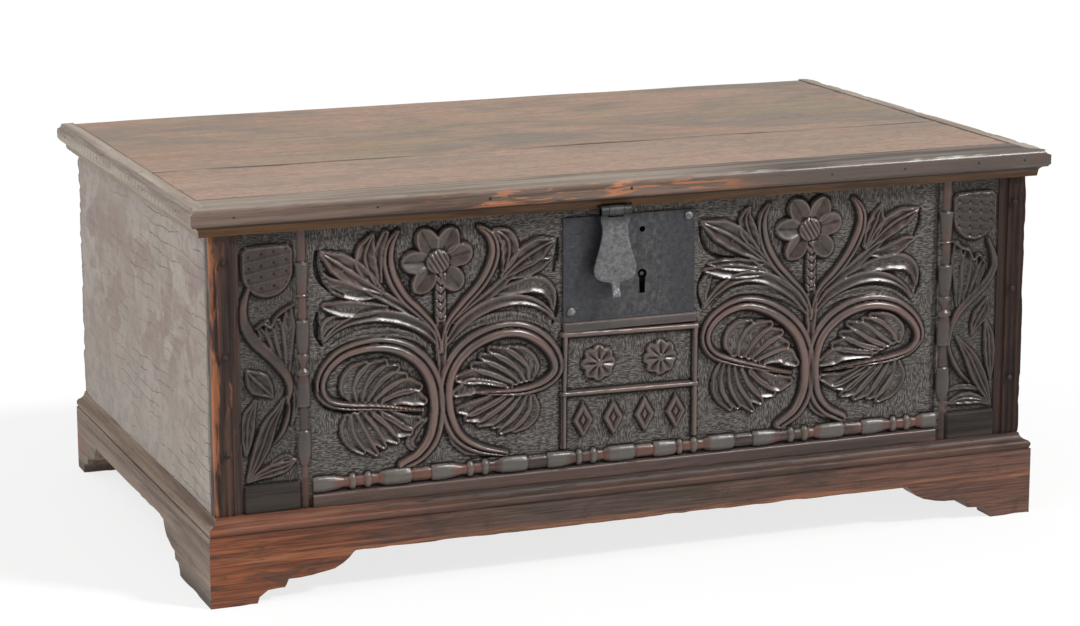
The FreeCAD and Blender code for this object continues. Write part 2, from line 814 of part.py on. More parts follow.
def make_stile(name, sign):
    body = new_body("front_%s_stile_carved" % name)
    inner = half_opening * sign
    shoulder = (half_body - "corner_moulding_width") * sign
    outer = end_inside * sign

    def level(first, second):
        return rectangle(*sorted((first, second), key=lambda face: face.value), plinth_top, body_top)

    pad(body, "front", [level(inner, outer)], end_front, frame_back)
    pad(body, "front", [level(inner, shoulder)], stile_ground, end_front)
    foot = sorted((shoulder, shoulder - size("stile_foot_width") * sign), key=lambda face: face.value)
    pad(body, "front", [rectangle(foot[0], foot[1], plinth_top, plinth_top + "stile_foot_height")],
        frame_front, stile_ground)
    for share, loops in stile_outlines():
        mapped = [placed(loop, shoulder.value, -sign) for loop in loops]
        relief(body, stile_ground, "stile_carving_depth", share, mapped)
    marks = spindle_marks((body_top - rail_top).value, STILE_FIRST_RING)
    carve_spindle(body, "top", rail_top, marks, (inner + size("stile_spindle_inset") * sign, stile_ground))
    deep = inner + size("groove_depth") * sign
    low, high = sorted((inner - BEYOND * sign, deep), key=lambda face: face.value)
    groove = box(name + "_groove", (low, tongue_front, rail_top - "tongue_length"), (high, tongue_back, body_top))
    far = inner + (size("tenon_length") + fit) * sign
    low, high = sorted((inner - BEYOND * sign, far), key=lambda face: face.value)
    mortise = box(name + "_mortise", (low, tongue_front, plinth_top + "tenon_shoulder"),
                  (high, tongue_back, rail_top - "tenon_shoulder"))
    label = "front_%s_stile" % name
    keep(label, cut(label, body, groove, mortise))


def make_rail():
    body = new_body("bottom_rail_carved")
    edge = half_opening
    band_top = plinth_top + "rail_band"
    pad(body, "front", [rectangle(-edge, edge, plinth_top, rail_top)], stile_ground, frame_back)
    pad(body, "front", [rectangle(-edge, edge, plinth_top, band_top)], frame_front, stile_ground)
    tenon = half_opening + "tenon_length"
    pad(body, "front", [rectangle(-tenon, tenon, plinth_top + "tenon_shoulder", rail_top - "tenon_shoulder")],
        tongue_front, tongue_back)
    marks = spindle_marks(DIMENSIONS["front_opening"], RAIL_FIRST_RING)
    carve_spindle(body, "side", -edge, marks, (stile_ground, band_top + "rail_spindle_height"))
    groove = box("rail_groove", (-tenon - BEYOND, tongue_front, rail_top - "groove_depth"),
                 (tenon + BEYOND, tongue_back, rail_top + BEYOND))
    keep("bottom_rail", cut("bottom_rail", body, groove))


# Lid
def lid_profile(inward, flip, width):
    """Section of a lid edge: rounded nosing, step and ovolo, then the flat underside."""
    under = lid_under + "nosing_underside"
    step = size("nosing_step")
    ovolo = step + "ovolo_width"
    return [
        (inward(width), lid_under),
        (inward(width), lid_top),
        (inward("nosing_radius"), lid_top),
        (inward(0), lid_top - "nosing_radius", size("nosing_radius") * -flip),
        (inward(0), under + "nosing_low_radius"),
        (inward("nosing_low_radius"), under, size("nosing_low_radius") * -flip),
        (inward(step), under),
        (inward(ovolo), lid_under + "ovolo_fillet", size("ovolo_radius") * -flip),
        (inward(ovolo), lid_under),
    ]


def make_lid():
    inside = half_lid - "cleat_width"
    strip_back = lid_front + "front_strip"
    joint = lid_front + "lid_joint"
    mitre = lid_front + "cleat_width"
    blank = prism("lid_front_blank", "side", lid_profile(lambda a: lid_front + a, -1, "front_strip"),
                  -half_lid, half_lid)
    plan = prism("lid_front_plan", "top", [
        (-half_lid, lid_front), (half_lid, lid_front), (inside, mitre),
        (inside, strip_back), (-inside, strip_back), (-inside, mitre),
    ], lid_under, lid_top)
    strip = common("lid_front_mitred", blank, plan)
    notch_half = size("hasp_neck") / 2 + "notch_side"
    notch = box("hasp_notch", (size("hasp_x") - notch_half, lid_front - BEYOND, lid_under - BEYOND),
                (size("hasp_x") + notch_half, strap_shoulder, strap_top + "notch_above"))
    keep("lid_front_moulding", cut("lid_front_moulding", strip, notch, strap_recess("strap_recess_front")))
    for name, sign in SIDES.items():
        outer = half_lid * sign
        section = prism("lid_%s_blank" % name, "front",
                        lid_profile(lambda a: outer - size(a) * sign, sign, "cleat_width"), lid_front, lid_back)
        plan = prism("lid_%s_plan" % name, "top", [
            (outer, lid_front), (outer, lid_back), (inside * sign, lid_back), (inside * sign, mitre),
        ], lid_under, lid_top)
        keep("lid_%s_cleat" % name, common("lid_%s_cleat" % name, section, plan))
    front = box("lid_front_board_blank", (-inside, strip_back, lid_under), (inside, joint, lid_top))
    keep("lid_front_board", cut("lid_front_board", front, strap_recess("strap_recess_rear")))
    rear = box("lid_rear_board_blank", (-inside, joint, lid_under), (inside, lid_back, lid_top))
    recesses = [lid_leaf_plate("%s_hinge_recess" % name, size("hinge_x") * sign, True)
                for name, sign in SIDES.items()]
    keep("lid_rear_board", cut("lid_rear_board", rear, *recesses))


# Hinges
hinge_axis_y = lid_back + "hinge_knuckle_radius"
hinge_axis_z = lid_under + "hinge_leaf" - "hinge_knuckle_radius"
hinge_bore = size("hinge_pin_radius") + "pin_clearance"


def lid_leaf_plate(label, middle, flat):
    """Dovetail leaf under the lid; flat leaves out its neck to the knuckle."""
    near = lid_back - "leaf_gap"
    far = lid_back - "hinge_leaf_length"
    half = size("hinge_width") / 2
    flare = size("hinge_flare") / 2
    neck = size("hinge_middle_knuckle") / 2
    reach = lid_back + BEYOND if flat else hinge_axis_y
    return prism(label, "top", [
        (middle - flare, far), (middle + flare, far), (middle + half, near), (middle + neck, near),
        (middle + neck, reach), (middle - neck, reach), (middle - neck, near), (middle - half, near),
    ], lid_under, lid_under + "hinge_leaf")


def make_hinge(name, sign):
    middle = size("hinge_x") * sign
    neck = size("hinge_middle_knuckle") / 2
    half = size("hinge_width") / 2
    flare = size("hinge_flare") / 2
    inner = neck + "knuckle_gap"
    axis = (hinge_axis_y, hinge_axis_z)
    bore = rod("hinge_bore", hinge_bore, "x", middle - half - BEYOND, middle + half + BEYOND, axis)
    plate = lid_leaf_plate(name + "_lid_leaf_plate", middle, False)
    roll = rod("lid_knuckle", "hinge_knuckle_radius", "x", middle - neck, middle + neck, axis)
    keep(name + "_hinge_lid_leaf",
         cut(name + "_hinge_lid_leaf", fuse(name + "_lid_leaf_solid", plate, roll), bore))
    near = hinge_axis_z - "hinge_knuckle_radius" - "leaf_gap"
    far = hinge_axis_z - "hinge_leaf_length"
    plate = prism(name + "_back_leaf_plate", "front", [
        (middle - half, hinge_axis_z), (middle - half, near), (middle - flare, far), (middle + flare, far),
        (middle + half, near), (middle + half, hinge_axis_z), (middle + inner, hinge_axis_z),
        (middle + inner, near), (middle - inner, near), (middle - inner, hinge_axis_z),
    ], lid_back, lid_back + "hinge_leaf")
    rolls = [rod("back_knuckle", "hinge_knuckle_radius", "x", middle + start, middle + end, axis)
             for start, end in ((-half, -inner), (inner, half))]
    keep(name + "_hinge_back_leaf",
         cut(name + "_hinge_back_leaf", fuse(name + "_back_leaf_solid", plate, *rolls), bore))
    keep(name + "_hinge_pin",
         rod(name + "_hinge_pin", "hinge_pin_radius", "x", middle - half, middle + half, axis))


# Lock
plate_back = panel_ground
plate_front = plate_back - "plate_thickness"


def lock_case_corners():
    low = (size("plate_left") + "case_margin", plate_back, size("plate_low") + "case_low_margin")
    high = (size("plate_right") - "case_margin", plate_back + "case_depth", size("plate_high") - "case_high_margin")
    return low, high


def make_lock():
    plate = box("lock_plate_blank", ("plate_left", plate_front, "plate_low"),
                ("plate_right", plate_back, "plate_high"))
    before = plate_front - BEYOND
    behind = plate_back + BEYOND
    x = size("keyhole_x")
    slot = size("keyhole_half_slot")
    neck = size("keyhole_half_neck")
    keyhole = prism("keyhole_slot", "front", [
        (x - slot, size("keyhole_low")), (x + slot, size("keyhole_low")),
        (x + neck, size("keyhole_high")), (x - neck, size("keyhole_high")),
    ], before, behind)
    eye = rod("keyhole_eye", "keyhole_radius", "y", before, behind, (x, size("keyhole_high")))
    hole = rod("small_hole", "small_hole_radius", "y", before, behind, (x, size("small_hole_high")))
    staple_z = hasp_axis_z - "staple_drop"
    entry_half = size("entry_half_width")
    entry = box("staple_entry", (size("hasp_x") - entry_half, before, staple_z - "entry_below"),
                (size("hasp_x") + entry_half, behind, staple_z + "entry_above"))
    keep("lock_plate", cut("lock_plate", plate, keyhole, eye, hole, entry))
    low, high = lock_case_corners()
    wall = size("case_wall")
    shell = box("lock_case_shell", low, high)
    hollow = box("lock_case_hollow", (low[0] + wall, low[1] - BEYOND, low[2] + wall),
                 (high[0] - wall, high[1] - wall, high[2] - wall))
    keep("lock_case", cut("lock_case", shell, hollow))
    keep("drill_pin", rod("drill_pin", "drill_pin_radius", "y", plate_front + "drill_pin_setback",
                          high[1] - wall, (x, size("keyhole_high"))))
    make_bolt(high)


def make_bolt(case_high):
    tip = size("hasp_x") + "bolt_rest"
    tail = tip + "bolt_length"
    front = plate_back + "bolt_play"
    back = front + "bolt_thickness"
    low = size("bolt_z") - size("bolt_height") / 2
    high = size("bolt_z") + size("bolt_height") / 2
    talon = size("keyhole_x")
    wide = size("talon_half")
    narrow = wide - "talon_slope"
    notch = low + "talon_depth"
    outline = [
        (tip, low), (talon - wide, low), (talon - narrow, notch), (talon + narrow, notch), (talon + wide, low),
        (tail, low), (tail, high), (tip, high),
    ]
    keep("lock_bolt", prism("lock_bolt", "front", outline, front, back))
    gap = size("bolt_play")
    wall = size("guide_wall")
    guides = []
    for start in (tip + "guide_from_tip", tail - "guide_from_tail"):
        outer = box("guide_outer", (start, plate_back, low - gap - wall),
                    (start + "guide_width", back + gap + wall, high + gap + wall))
        passage = box("guide_passage", (start - BEYOND, plate_back - BEYOND, low - gap),
                      (start + "guide_width" + BEYOND, back + gap, high + gap))
        guides.append(cut("bolt_guide", outer, passage))
    keep("bolt_guides", group("bolt_guides", *guides))
    top = high + "spring_lift"
    wall_x = case_high[0] - "case_wall"
    thin = size("spring_thickness")
    foot_low = top + "spring_rise"
    foot_high = foot_low + "spring_foot"
    end = talon + "spring_reach"
    bend = size("spring_bend")
    spring = [
        (wall_x, foot_low), (wall_x, foot_high), (wall_x - thin, foot_high), (wall_x - thin * 2, foot_low),
        (end, top + thin, bend), (end, top), (end + thin, top), (wall_x - thin, foot_low - thin, -bend),
    ]
    keep("bolt_spring", prism("bolt_spring", "front", spring, front, front + "spring_width"))


# Hasp
hasp_axis_y = panel_front - "hasp_standoff"
strap_top = lid_under + "strap_thickness"
hasp_axis_z = strap_top - "hasp_knuckle_radius"
hasp_bore = size("hasp_pin_radius") + "pin_clearance"
strap_shoulder = hasp_axis_y + "hasp_knuckle_radius" + "strap_gap"


def strap_outline(near):
    """Plan of the strap under the lid, with a pointed end, from the given front edge back."""
    x = size("hasp_x")
    half = size("hasp_neck") / 2
    end = strap_shoulder + "strap_length"
    cheek = end - "strap_point"
    return [(x - half, near), (x + half, near), (x + half, cheek), (x, end), (x - half, cheek)]


def strap_recess(label):
    return prism(label, "top", strap_outline(strap_shoulder), lid_under - BEYOND, strap_top)


def make_hasp():
    x = size("hasp_x")
    axis = (hasp_axis_y, hasp_axis_z)
    middle = size("hasp_middle_knuckle") / 2
    half = size("hasp_neck") / 2
    bore = rod("hasp_bore", hasp_bore, "x", x - half - BEYOND, x + half + BEYOND, axis)
    outline = strap_outline(strap_shoulder)
    outline[1:1] = [(x - middle, strap_shoulder), (x - middle, hasp_axis_y),
                    (x + middle, hasp_axis_y), (x + middle, strap_shoulder)]
    plate = prism("hasp_strap_plate", "top", outline, lid_under, strap_top)
    roll = rod("strap_knuckle", "hasp_knuckle_radius", "x", x - middle, x + middle, axis)
    keep("hasp_strap", cut("hasp_strap", fuse("hasp_strap_solid", plate, roll), bore))
    keep("hasp_pin", rod("hasp_pin", "hasp_pin_radius", "x", x - half, x + half, axis))
    make_hasp_plate(x, axis, middle + "knuckle_gap", half, bore)


def make_hasp_plate(x, axis, inner, half, bore):
    near = hasp_axis_z - "hasp_knuckle_radius" - "leaf_gap"
    neck_z = near - "hasp_thickness"
    waist_z = hasp_axis_z - "hasp_waist_drop"
    belly_z = hasp_axis_z - "hasp_belly_drop"
    low_z = hasp_axis_z - "hasp_length"
    waist = size("hasp_waist") / 2
    belly = size("hasp_belly") / 2
    toe = belly - "hasp_corner"
    side = size("hasp_side_radius")
    corner = size("hasp_corner_radius")
    body = new_body("hasp_plate")
    front = hasp_axis_y - size("hasp_thickness") / 2
    back = hasp_axis_y + size("hasp_thickness") / 2
    pad(body, "front", [[
        (x - inner, near), (x - inner, hasp_axis_z), (x - half, hasp_axis_z), (x - half, neck_z),
        (x - waist, waist_z), (x - belly, belly_z, -side), (x - toe, low_z, -corner),
        (x + toe, low_z), (x + belly, belly_z, -corner), (x + waist, waist_z, -side),
        (x + half, neck_z), (x + half, hasp_axis_z), (x + inner, hasp_axis_z), (x + inner, near),
    ]], front, back)
    lift_half = size("finger_lift_width") / 2
    lift_y = front - "finger_lift_reach"
    lift_z = low_z - "finger_lift_drop"
    root = low_z + "hasp_thickness"
    lift = prism("finger_lift", "side", [(front, root), (lift_y, lift_z), (back, low_z), (back, root)],
                 x - lift_half, x + lift_half)
    curl = rod("finger_curl", "finger_curl_radius", "x", x - lift_half, x + lift_half, (lift_y, lift_z))
    rolls = [rod("hasp_knuckle", "hasp_knuckle_radius", "x", x + start, x + end, axis)
             for start, end in ((-half, -inner), (inner, half))]
    staple_z = hasp_axis_z - "staple_drop"
    rivet_hole = rod("rivet_hole", "rivet_radius", "y", front - BEYOND, back + BEYOND, (x, staple_z))
    keep("hasp", cut("hasp", fuse("hasp_solid", body, lift, curl, *rolls), bore, rivet_hole))
    gap = size("staple_half_gap")
    outer = gap + "staple_wire"
    tip = back + "staple_reach"
    base = back + "staple_plate"
    side_half = size("staple_width") / 2
    eye = prism("staple_eye", "side", [
        (back, staple_z - outer), (tip, staple_z - outer), (tip, staple_z + outer), (back, staple_z + outer),
    ], x - side_half, x + side_half)
    opening = box("staple_opening", (x - side_half - BEYOND, base, staple_z - gap),
                  (x + side_half + BEYOND, tip - "staple_end", staple_z + gap))
    rivet = rod("staple_rivet", "rivet_radius", "y", front - "rivet_height", back, (x, staple_z))
    keep("hasp_staple", cut("hasp_staple", fuse("hasp_staple_solid", eye, rivet), opening))


# Nails
def nail_shape():
    """One forged nail with a square shank and a four-sided head, its head towards +Z."""
    def square(width, level):
        half = width / 2
        corners = [(-half, -half), (half, -half), (half, half), (-half, half), (-half, -half)]
        return Part.makePolygon([FreeCAD.Vector(u, v, level) for u, v in corners])

    head = Part.makeLoft([square(sheet.nail_head, 0), square(sheet.nail_head_top, sheet.nail_head_height)], True)
    half = sheet.nail_shank / 2
    shank = Part.makeBox(sheet.nail_shank, sheet.nail_shank, sheet.nail_length,
                         FreeCAD.Vector(-half, -half, -sheet.nail_length))
    return head.fuse(shank)


FACINGS = {
    "front": FreeCAD.Rotation(FreeCAD.Vector(0, 0, 1), FreeCAD.Vector(0, -1, 0)),
    "back": FreeCAD.Rotation(FreeCAD.Vector(0, 0, 1), FreeCAD.Vector(0, 1, 0)),
    "left": FreeCAD.Rotation(FreeCAD.Vector(0, 0, 1), FreeCAD.Vector(-1, 0, 0)),
    "right": FreeCAD.Rotation(FreeCAD.Vector(0, 0, 1), FreeCAD.Vector(1, 0, 0)),
    "under": FreeCAD.Rotation(FreeCAD.Vector(0, 0, 1), FreeCAD.Vector(0, 0, -1)),
}


def make_nails(label, places):
    """A group of equal nails, each given by the way its head faces and its place."""
    solids = []
    for facing, place in places:
        nail = nail_shape()
        nail.Placement = FreeCAD.Placement(FreeCAD.Vector(*[size(c).value for c in place]), FACINGS[facing])
        solids.append(nail)
    feature = doc.addObject("Part::Feature", label)
    feature.Shape = Part.makeCompound(solids)
    keep(label, feature)


def make_all_nails():
    nosing_z = lid_under + "nosing_underside" + EDGE_NAIL_RISE
    flush = size("nail_head_height")
    places = [("front", (x, lid_front + flush, nosing_z)) for x in FRONT_NAIL_X]
    for depth in END_NAIL_DEPTHS:
        places.append(("left", (flush - half_lid, lid_front + depth, nosing_z)))
        places.append(("right", (half_lid - flush, lid_front + depth, nosing_z)))
    make_nails("lid_nails", places)
    reed_x = half_body - size("reed_width") * 2
    make_nails("corner_nails", [("front", (reed_x * sign, body_front + "reed_depth", z))
                                for sign in SIDES.values() for z in CORNER_NAIL_Z])
    make_nails("lock_plate_nails", [("front", (x, plate_front, z)) for x, z in PLATE_NAILS])
    strap_x = size("hasp_x")
    make_nails("hasp_strap_nails", [("under", (strap_x, strap_shoulder + depth, lid_under))
                                    for depth in STRAP_NAIL_DEPTHS])
    lid_places = []
    back_places = []
    for sign in SIDES.values():
        middle = size("hinge_x") * sign
        for across, along in HINGE_NAILS:
            lid_places.append(("under", (middle + across, lid_back - along, lid_under)))
            back_places.append(("back", (middle + across, lid_back + "hinge_leaf", hinge_axis_z - along)))
    make_nails("hinge_lid_nails", lid_places)
    make_nails("hinge_back_nails", back_places)


def write_parts():
    """Check every object, then write one file for each finished piece."""
    doc.recompute()
    for thing in doc.Objects:
        if "Invalid" in thing.State or "Error" in thing.State:
            raise RuntimeError("%s (%s) is not built: %s" % (thing.Label, thing.Name, thing.State))
    for label, thing in nodes.items():
        if thing.Shape.isNull() or not thing.Shape.isValid():
            raise RuntimeError(label + " has no valid shape")
    os.makedirs("parts", exist_ok=True)
    for label, thing in nodes.items():
        thing.Shape.exportStep("parts/%s.step" % label)


make_base()
make_boards()
make_corner_mouldings()
make_panel()
for stile_name, stile_sign in SIDES.items():
    make_stile(stile_name, stile_sign)
make_rail()
make_lid()
for hinge_name, hinge_sign in SIDES.items():
    make_hinge(hinge_name, hinge_sign)
make_lock()
make_hasp()
make_all_nails()
write_parts()
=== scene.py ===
import math
import bpy
import numpy as np
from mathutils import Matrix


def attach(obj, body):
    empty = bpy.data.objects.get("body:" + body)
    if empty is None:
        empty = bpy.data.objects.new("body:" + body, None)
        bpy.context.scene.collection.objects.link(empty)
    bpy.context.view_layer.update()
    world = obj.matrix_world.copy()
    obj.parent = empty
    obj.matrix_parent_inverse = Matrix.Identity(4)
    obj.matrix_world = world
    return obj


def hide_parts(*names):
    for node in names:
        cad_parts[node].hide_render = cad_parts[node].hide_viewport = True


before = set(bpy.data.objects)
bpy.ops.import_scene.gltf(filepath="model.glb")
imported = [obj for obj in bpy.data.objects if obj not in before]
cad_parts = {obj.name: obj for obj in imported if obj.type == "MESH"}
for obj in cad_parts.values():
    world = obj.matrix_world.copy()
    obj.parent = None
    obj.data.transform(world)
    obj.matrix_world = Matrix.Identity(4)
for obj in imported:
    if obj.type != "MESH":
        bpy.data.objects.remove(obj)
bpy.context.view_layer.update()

# The box's own sizes below are in millimetres and become metres where a mesh is made
MM = 0.001
SIDES = (("left", -1), ("right", 1))


# Small forms
def unit(value):
    """Limit to between 0 and 1."""
    return np.clip(value, 0, 1)


def smooth(share):
    """Round both ends of a ramp from 0 to 1: three squares less two cubes."""
    return share * share * (3 - 2 * share)


def arch(value):
    """A half circle over -1 to 1: the root of one less the square."""
    return np.sqrt(unit(1 - value ** 2))


def peak(value, breadth):
    """A rounded peak at zero: the exponential of minus the square of value over breadth."""
    return np.exp(-(value / breadth) ** 2)


def grid(*parts):
    """Points from their coordinates, each a whole grid, one row or one column."""
    return np.stack(np.broadcast_arrays(*parts), -1).astype(float)


def soften(field, times):
    """Blur a grid: each point becomes a mean of itself and its four neighbours, repeated."""
    for _ in range(times):
        wide = np.pad(field, 1, mode="edge")
        field = 0.4 * field + 0.15 * (wide[2:, 1:-1] + wide[:-2, 1:-1] + wide[1:-1, 2:] + wide[1:-1, :-2])
    return field


def ripple(points, wave, seed, count=20):
    """Smooth noise of unit size: a sum of cosine waves in random directions, about one wave length long."""
    random = np.random.default_rng(seed)
    way = random.normal(size=(points.shape[-1], count))
    way /= np.linalg.norm(way, axis=0)
    turns = 2 * math.pi / wave * random.uniform(0.6, 1.7, count)
    start = random.uniform(0, 2 * math.pi, count)
    return np.cos(points @ (way * turns) + start).sum(-1) * math.sqrt(2 / count)


# Meshes
def grid_faces(rows, columns, wrap=False):
    """Four-cornered faces of a grid of points, row by row; wrap joins the last column to the first."""
    row = np.arange(rows - 1)[:, None] * columns
    column = np.arange(columns if wrap else columns - 1)[None, :]
    after = (column + 1) % columns
    corners = [row + column, row + columns + column, row + columns + after, row + after]
    return np.stack([c.ravel() for c in corners], 1)


def block(axes, u, v, front, back):
    """A closed board: a grid (u, v) lifted by front along the outward axis, walls and a flat back.

    axes holds the directions of u, v and the outward lift, as rows.
    """
    axes = np.array(axes, float)
    rows, columns = front.shape
    face = u[..., None] * axes[0] + v[..., None] * axes[1] + front[..., None] * axes[2]
    number = np.arange(rows * columns).reshape(rows, columns)
    rim = np.concatenate([number[:-1, 0], number[-1, :-1], number[:0:-1, -1], number[0, :0:-1]])
    behind = face.reshape(-1, 3)[rim]
    behind = behind + (back - behind @ axes[2])[:, None] * axes[2]
    points = np.vstack([face.reshape(-1, 3), behind, behind.mean(0)])
    ring = rows * columns + np.arange(len(rim))
    walls = np.stack([rim, ring, np.roll(ring, -1), np.roll(rim, -1)], 1)
    middle = np.full(len(rim), len(points) - 1)
    cap = np.stack([middle, np.roll(ring, -1), ring], 1)
    return points, [grid_faces(rows, columns), walls, cap]


def loft(rings):
    """A closed solid through a row of closed outlines, its two ends filled from their middles."""
    count, size, _ = rings.shape
    points = np.vstack([rings.reshape(-1, 3), rings[0].mean(0), rings[-1].mean(0)])
    start = np.arange(size)
    end = start + (count - 1) * size
    near = np.stack([np.full(size, len(points) - 2), start, np.roll(start, -1)], 1)
    far = np.stack([np.full(size, len(points) - 1), np.roll(end, -1), end], 1)
    return points, [grid_faces(count, size, wrap=True), near, far]


def face_volume(points, faces):
    """Signed volume of a closed shell: a sum over its faces cut into triangles."""
    total = 0.0
    for group in faces:
        for second in range(1, group.shape[1] - 1):
            a, b, c = (points[group[:, k]] for k in (0, second, second + 1))
            total += np.einsum("ij,ij->i", a, np.cross(b, c)).sum()
    return total


def piece(name, shells, finish, body, nodes, marks=None, sharp=50.0):
    """Make one object from closed shells (points, faces), with its finish, body, slot and replaced nodes.

    marks are named values for the first points of the first shell, and zero elsewhere.
    """
    all_points = []
    loops = []
    totals = []
    offset = 0
    for points, faces in shells:
        inside_out = face_volume(points, faces) < 0
        for group in faces:
            group = group[:, ::-1] if inside_out else group
            loops.append((group + offset).ravel())
            totals.append(np.full(len(group), group.shape[1]))
        all_points.append(points)
        offset += len(points)
    points = np.vstack(all_points) * MM
    loops = np.concatenate(loops)
    totals = np.concatenate(totals)
    mesh = bpy.data.meshes.new(name)
    mesh.vertices.add(len(points))
    mesh.vertices.foreach_set("co", points.astype(np.float32).ravel())
    mesh.loops.add(len(loops))
    mesh.loops.foreach_set("vertex_index", loops.astype(np.int32))
    mesh.polygons.add(len(totals))
    mesh.polygons.foreach_set("loop_start", (np.cumsum(totals) - totals).astype(np.int32))
    mesh.polygons.foreach_set("loop_total", totals.astype(np.int32))
    mesh.update(calc_edges=True)
    mesh.polygons.foreach_set("use_smooth", np.ones(len(totals), bool))
    mesh.set_sharp_from_angle(angle=math.radians(sharp))
    for label, values in (marks or {}).items():
        full = np.zeros(len(points), np.float32)
        full[:values.size] = values.ravel()
        mesh.attributes.new(label, "FLOAT", "POINT").data.foreach_set("value", full)
    mesh.materials.append(finish)
    made = bpy.data.objects.new(name, mesh)
    bpy.context.scene.collection.objects.link(made)
    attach(made, body)
    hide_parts(*nodes)


# Carving
def curve(points, steps=12):
    """A smooth path through the points: cubics whose slope at a point follows its two neighbours."""
    knots = np.array(points, float)
    knots = np.vstack([2 * knots[0] - knots[1], knots, 2 * knots[-1] - knots[-2]])
    spans = len(points) - 1
    place = np.linspace(0, spans, spans * steps + 1)
    index = np.minimum(place.astype(int), spans - 1)
    f = (place - index)[:, None]
    a, b, c, d = (knots[index + k] for k in range(4))
    square = (2 * a - 5 * b + 4 * c - d) * f ** 2
    cube = (3 * b - a - 3 * c + d) * f ** 3
    return 0.5 * (2 * b + (c - a) * f + square + cube)


def beside(path, x, z):
    """Each point's signed distance to the left of a path and the share of the way to its nearest place."""
    start = path[:-1]
    step = path[1:] - start
    length = np.hypot(*step.T)
    gone = np.concatenate([[0], np.cumsum(length)])
    dx = x[:, None] - start[:, 0]
    dz = z[:, None] - start[:, 1]
    along = unit((dx * step[:, 0] + dz * step[:, 1]) / (length ** 2 + 1e-9))
    far_x = dx - along * step[:, 0]
    far_z = dz - along * step[:, 1]
    nearest = np.argmin(far_x ** 2 + far_z ** 2, 1)
    row = np.arange(len(x))
    far_x = far_x[row, nearest]
    far_z = far_z[row, nearest]
    way = step[nearest]
    side = np.sign(way[:, 0] * far_z - way[:, 1] * far_x)
    share = (gone[nearest] + along[row, nearest] * length[nearest]) / gone[-1]
    return np.hypot(far_x, far_z) * np.where(side == 0, 1, side), share


# Forms of a stroke: the height at u, from -1 to 1 across it, and t, from 0 to 1 along it
def roll(u, t):
    """A rounded roll: a half circle across the stroke."""
    return arch(u) ** 0.8


def reed(u, t):
    """A broad roll on the left, inside a scroll, and a low one on the right, with a groove between."""
    return np.maximum(np.maximum(arch((u - 0.42) / 0.6), 0.74 * arch((u + 0.58) / 0.46)), 0.3)


def hollow(u, t):
    """A gouged channel: low along the middle, high at its two edges."""
    return 0.36 + 0.64 * np.abs(u) ** 1.6


def lobe(u, t):
    """A leaf lobe: gouged along the middle, rising to its tip."""
    return (0.28 + 0.72 * u ** 2) * (0.76 + 0.24 * t)


def leaf(u, t):
    """A leaf blade: a thin rib along the middle, hollow sides, raised edges and slanting veins."""
    vein = 0.05 * np.cos(26 * t + 5 * np.abs(u))
    return 0.36 + 0.58 * u ** 2 + 0.5 * peak(u, 0.13) + vein * np.sin(math.pi * np.abs(u))


def plain(u, t):
    """A flat top."""
    return np.ones_like(u)


# How readily each form rubs through to red-brown wood
RUBS = {roll: 0.7, reed: 0.8, hollow: 0.4, lobe: 0.45, leaf: 0.25, plain: 0.0}


class Relief:
    """A carved surface: a grid of places, the height carved there and how far it is rubbed."""

    def __init__(self, x0, x1, z0, z1, pitch):
        across = np.linspace(x0, x1, int(round((x1 - x0) / pitch)) + 1)
        up = np.linspace(z0, z1, int(round((z1 - z0) / pitch)) + 1)
        self.x, self.z = np.meshgrid(across, up, indexing="ij")
        self.h = np.zeros_like(self.x)
        self.rub = np.zeros_like(self.x)

    def add(self, lift):
        """Where forms meet, the higher one shows."""
        self.h = np.maximum(self.h, lift)

    def stroke(self, form, height, widths, points, wall=1.3, cut=False):
        """Raise the ground under a smooth path, or lower it by a cut.

        The form is the height across the path, widths its half widths along it, wall the breadth of a side.
        """
        path = curve(points)
        reach = max(widths) + wall * 2
        low = path.min(0) - reach
        high = path.max(0) + reach
        near = (self.x > low[0]) & (self.x < high[0]) & (self.z > low[1]) & (self.z < high[1])
        if not near.any():
            return
        side, share = beside(path, self.x[near], self.z[near])
        half = np.interp(share, np.linspace(0, 1, len(widths)), widths)
        fall = smooth(unit(0.5 - (np.abs(side) - half) / wall))
        across = form(np.clip(side / half, -1, 1), share) * fall
        lift = height * across
        if cut:
            self.h[near] -= lift
            return
        rubbed = RUBS[form] * unit(across * 2.2 - 1.2)
        self.rub[near] = np.where(lift > self.h[near], rubbed, self.rub[near])
        self.h[near] = np.maximum(self.h[near], lift)

    def box(self, height, x0, x1, z0, z1, wall=1.0):
        """Raise a rectangle with a rounded arris."""
        out = np.maximum(np.maximum(x0 - self.x, self.x - x1), np.maximum(z0 - self.z, self.z - z1))
        self.add(height * smooth(unit(0.5 - out / wall)))

    def spindle(self, along_x, centre, stations, radii, depth, breadth, rub=1.0):
        """A half-round row of turnings: the half breadth at each station, as an oval of the given depth.

        The slender reels and rings are rubbed, the swollen bulbs are not.
        """
        along, off = (self.x, self.z - centre) if along_x else (self.z, self.x - centre)
        radius = np.interp(along, stations, radii)
        lift = depth * radius * arch(off / (radius * breadth))
        slender = unit((0.9 - radius) / 0.12) * (lift > 1.0)
        self.rub = np.where(lift > self.h, rub * slender, self.rub)
        self.add(lift)

    def tool(self, depth, seed):
        """Roughen the ground between the raised parts with small gouge marks, and all of it by slow wear."""
        places = grid(self.x / 1.6, self.z)
        marks = ripple(places, 2.3, seed) + 0.6 * ripple(places, 6.0, seed + 1)
        ground = unit(1 - self.h / 1.2)
        wear = ripple(grid(self.x, self.z), 14.0, seed + 2)
        self.h = self.h + depth * marks * ground + 0.07 * wear


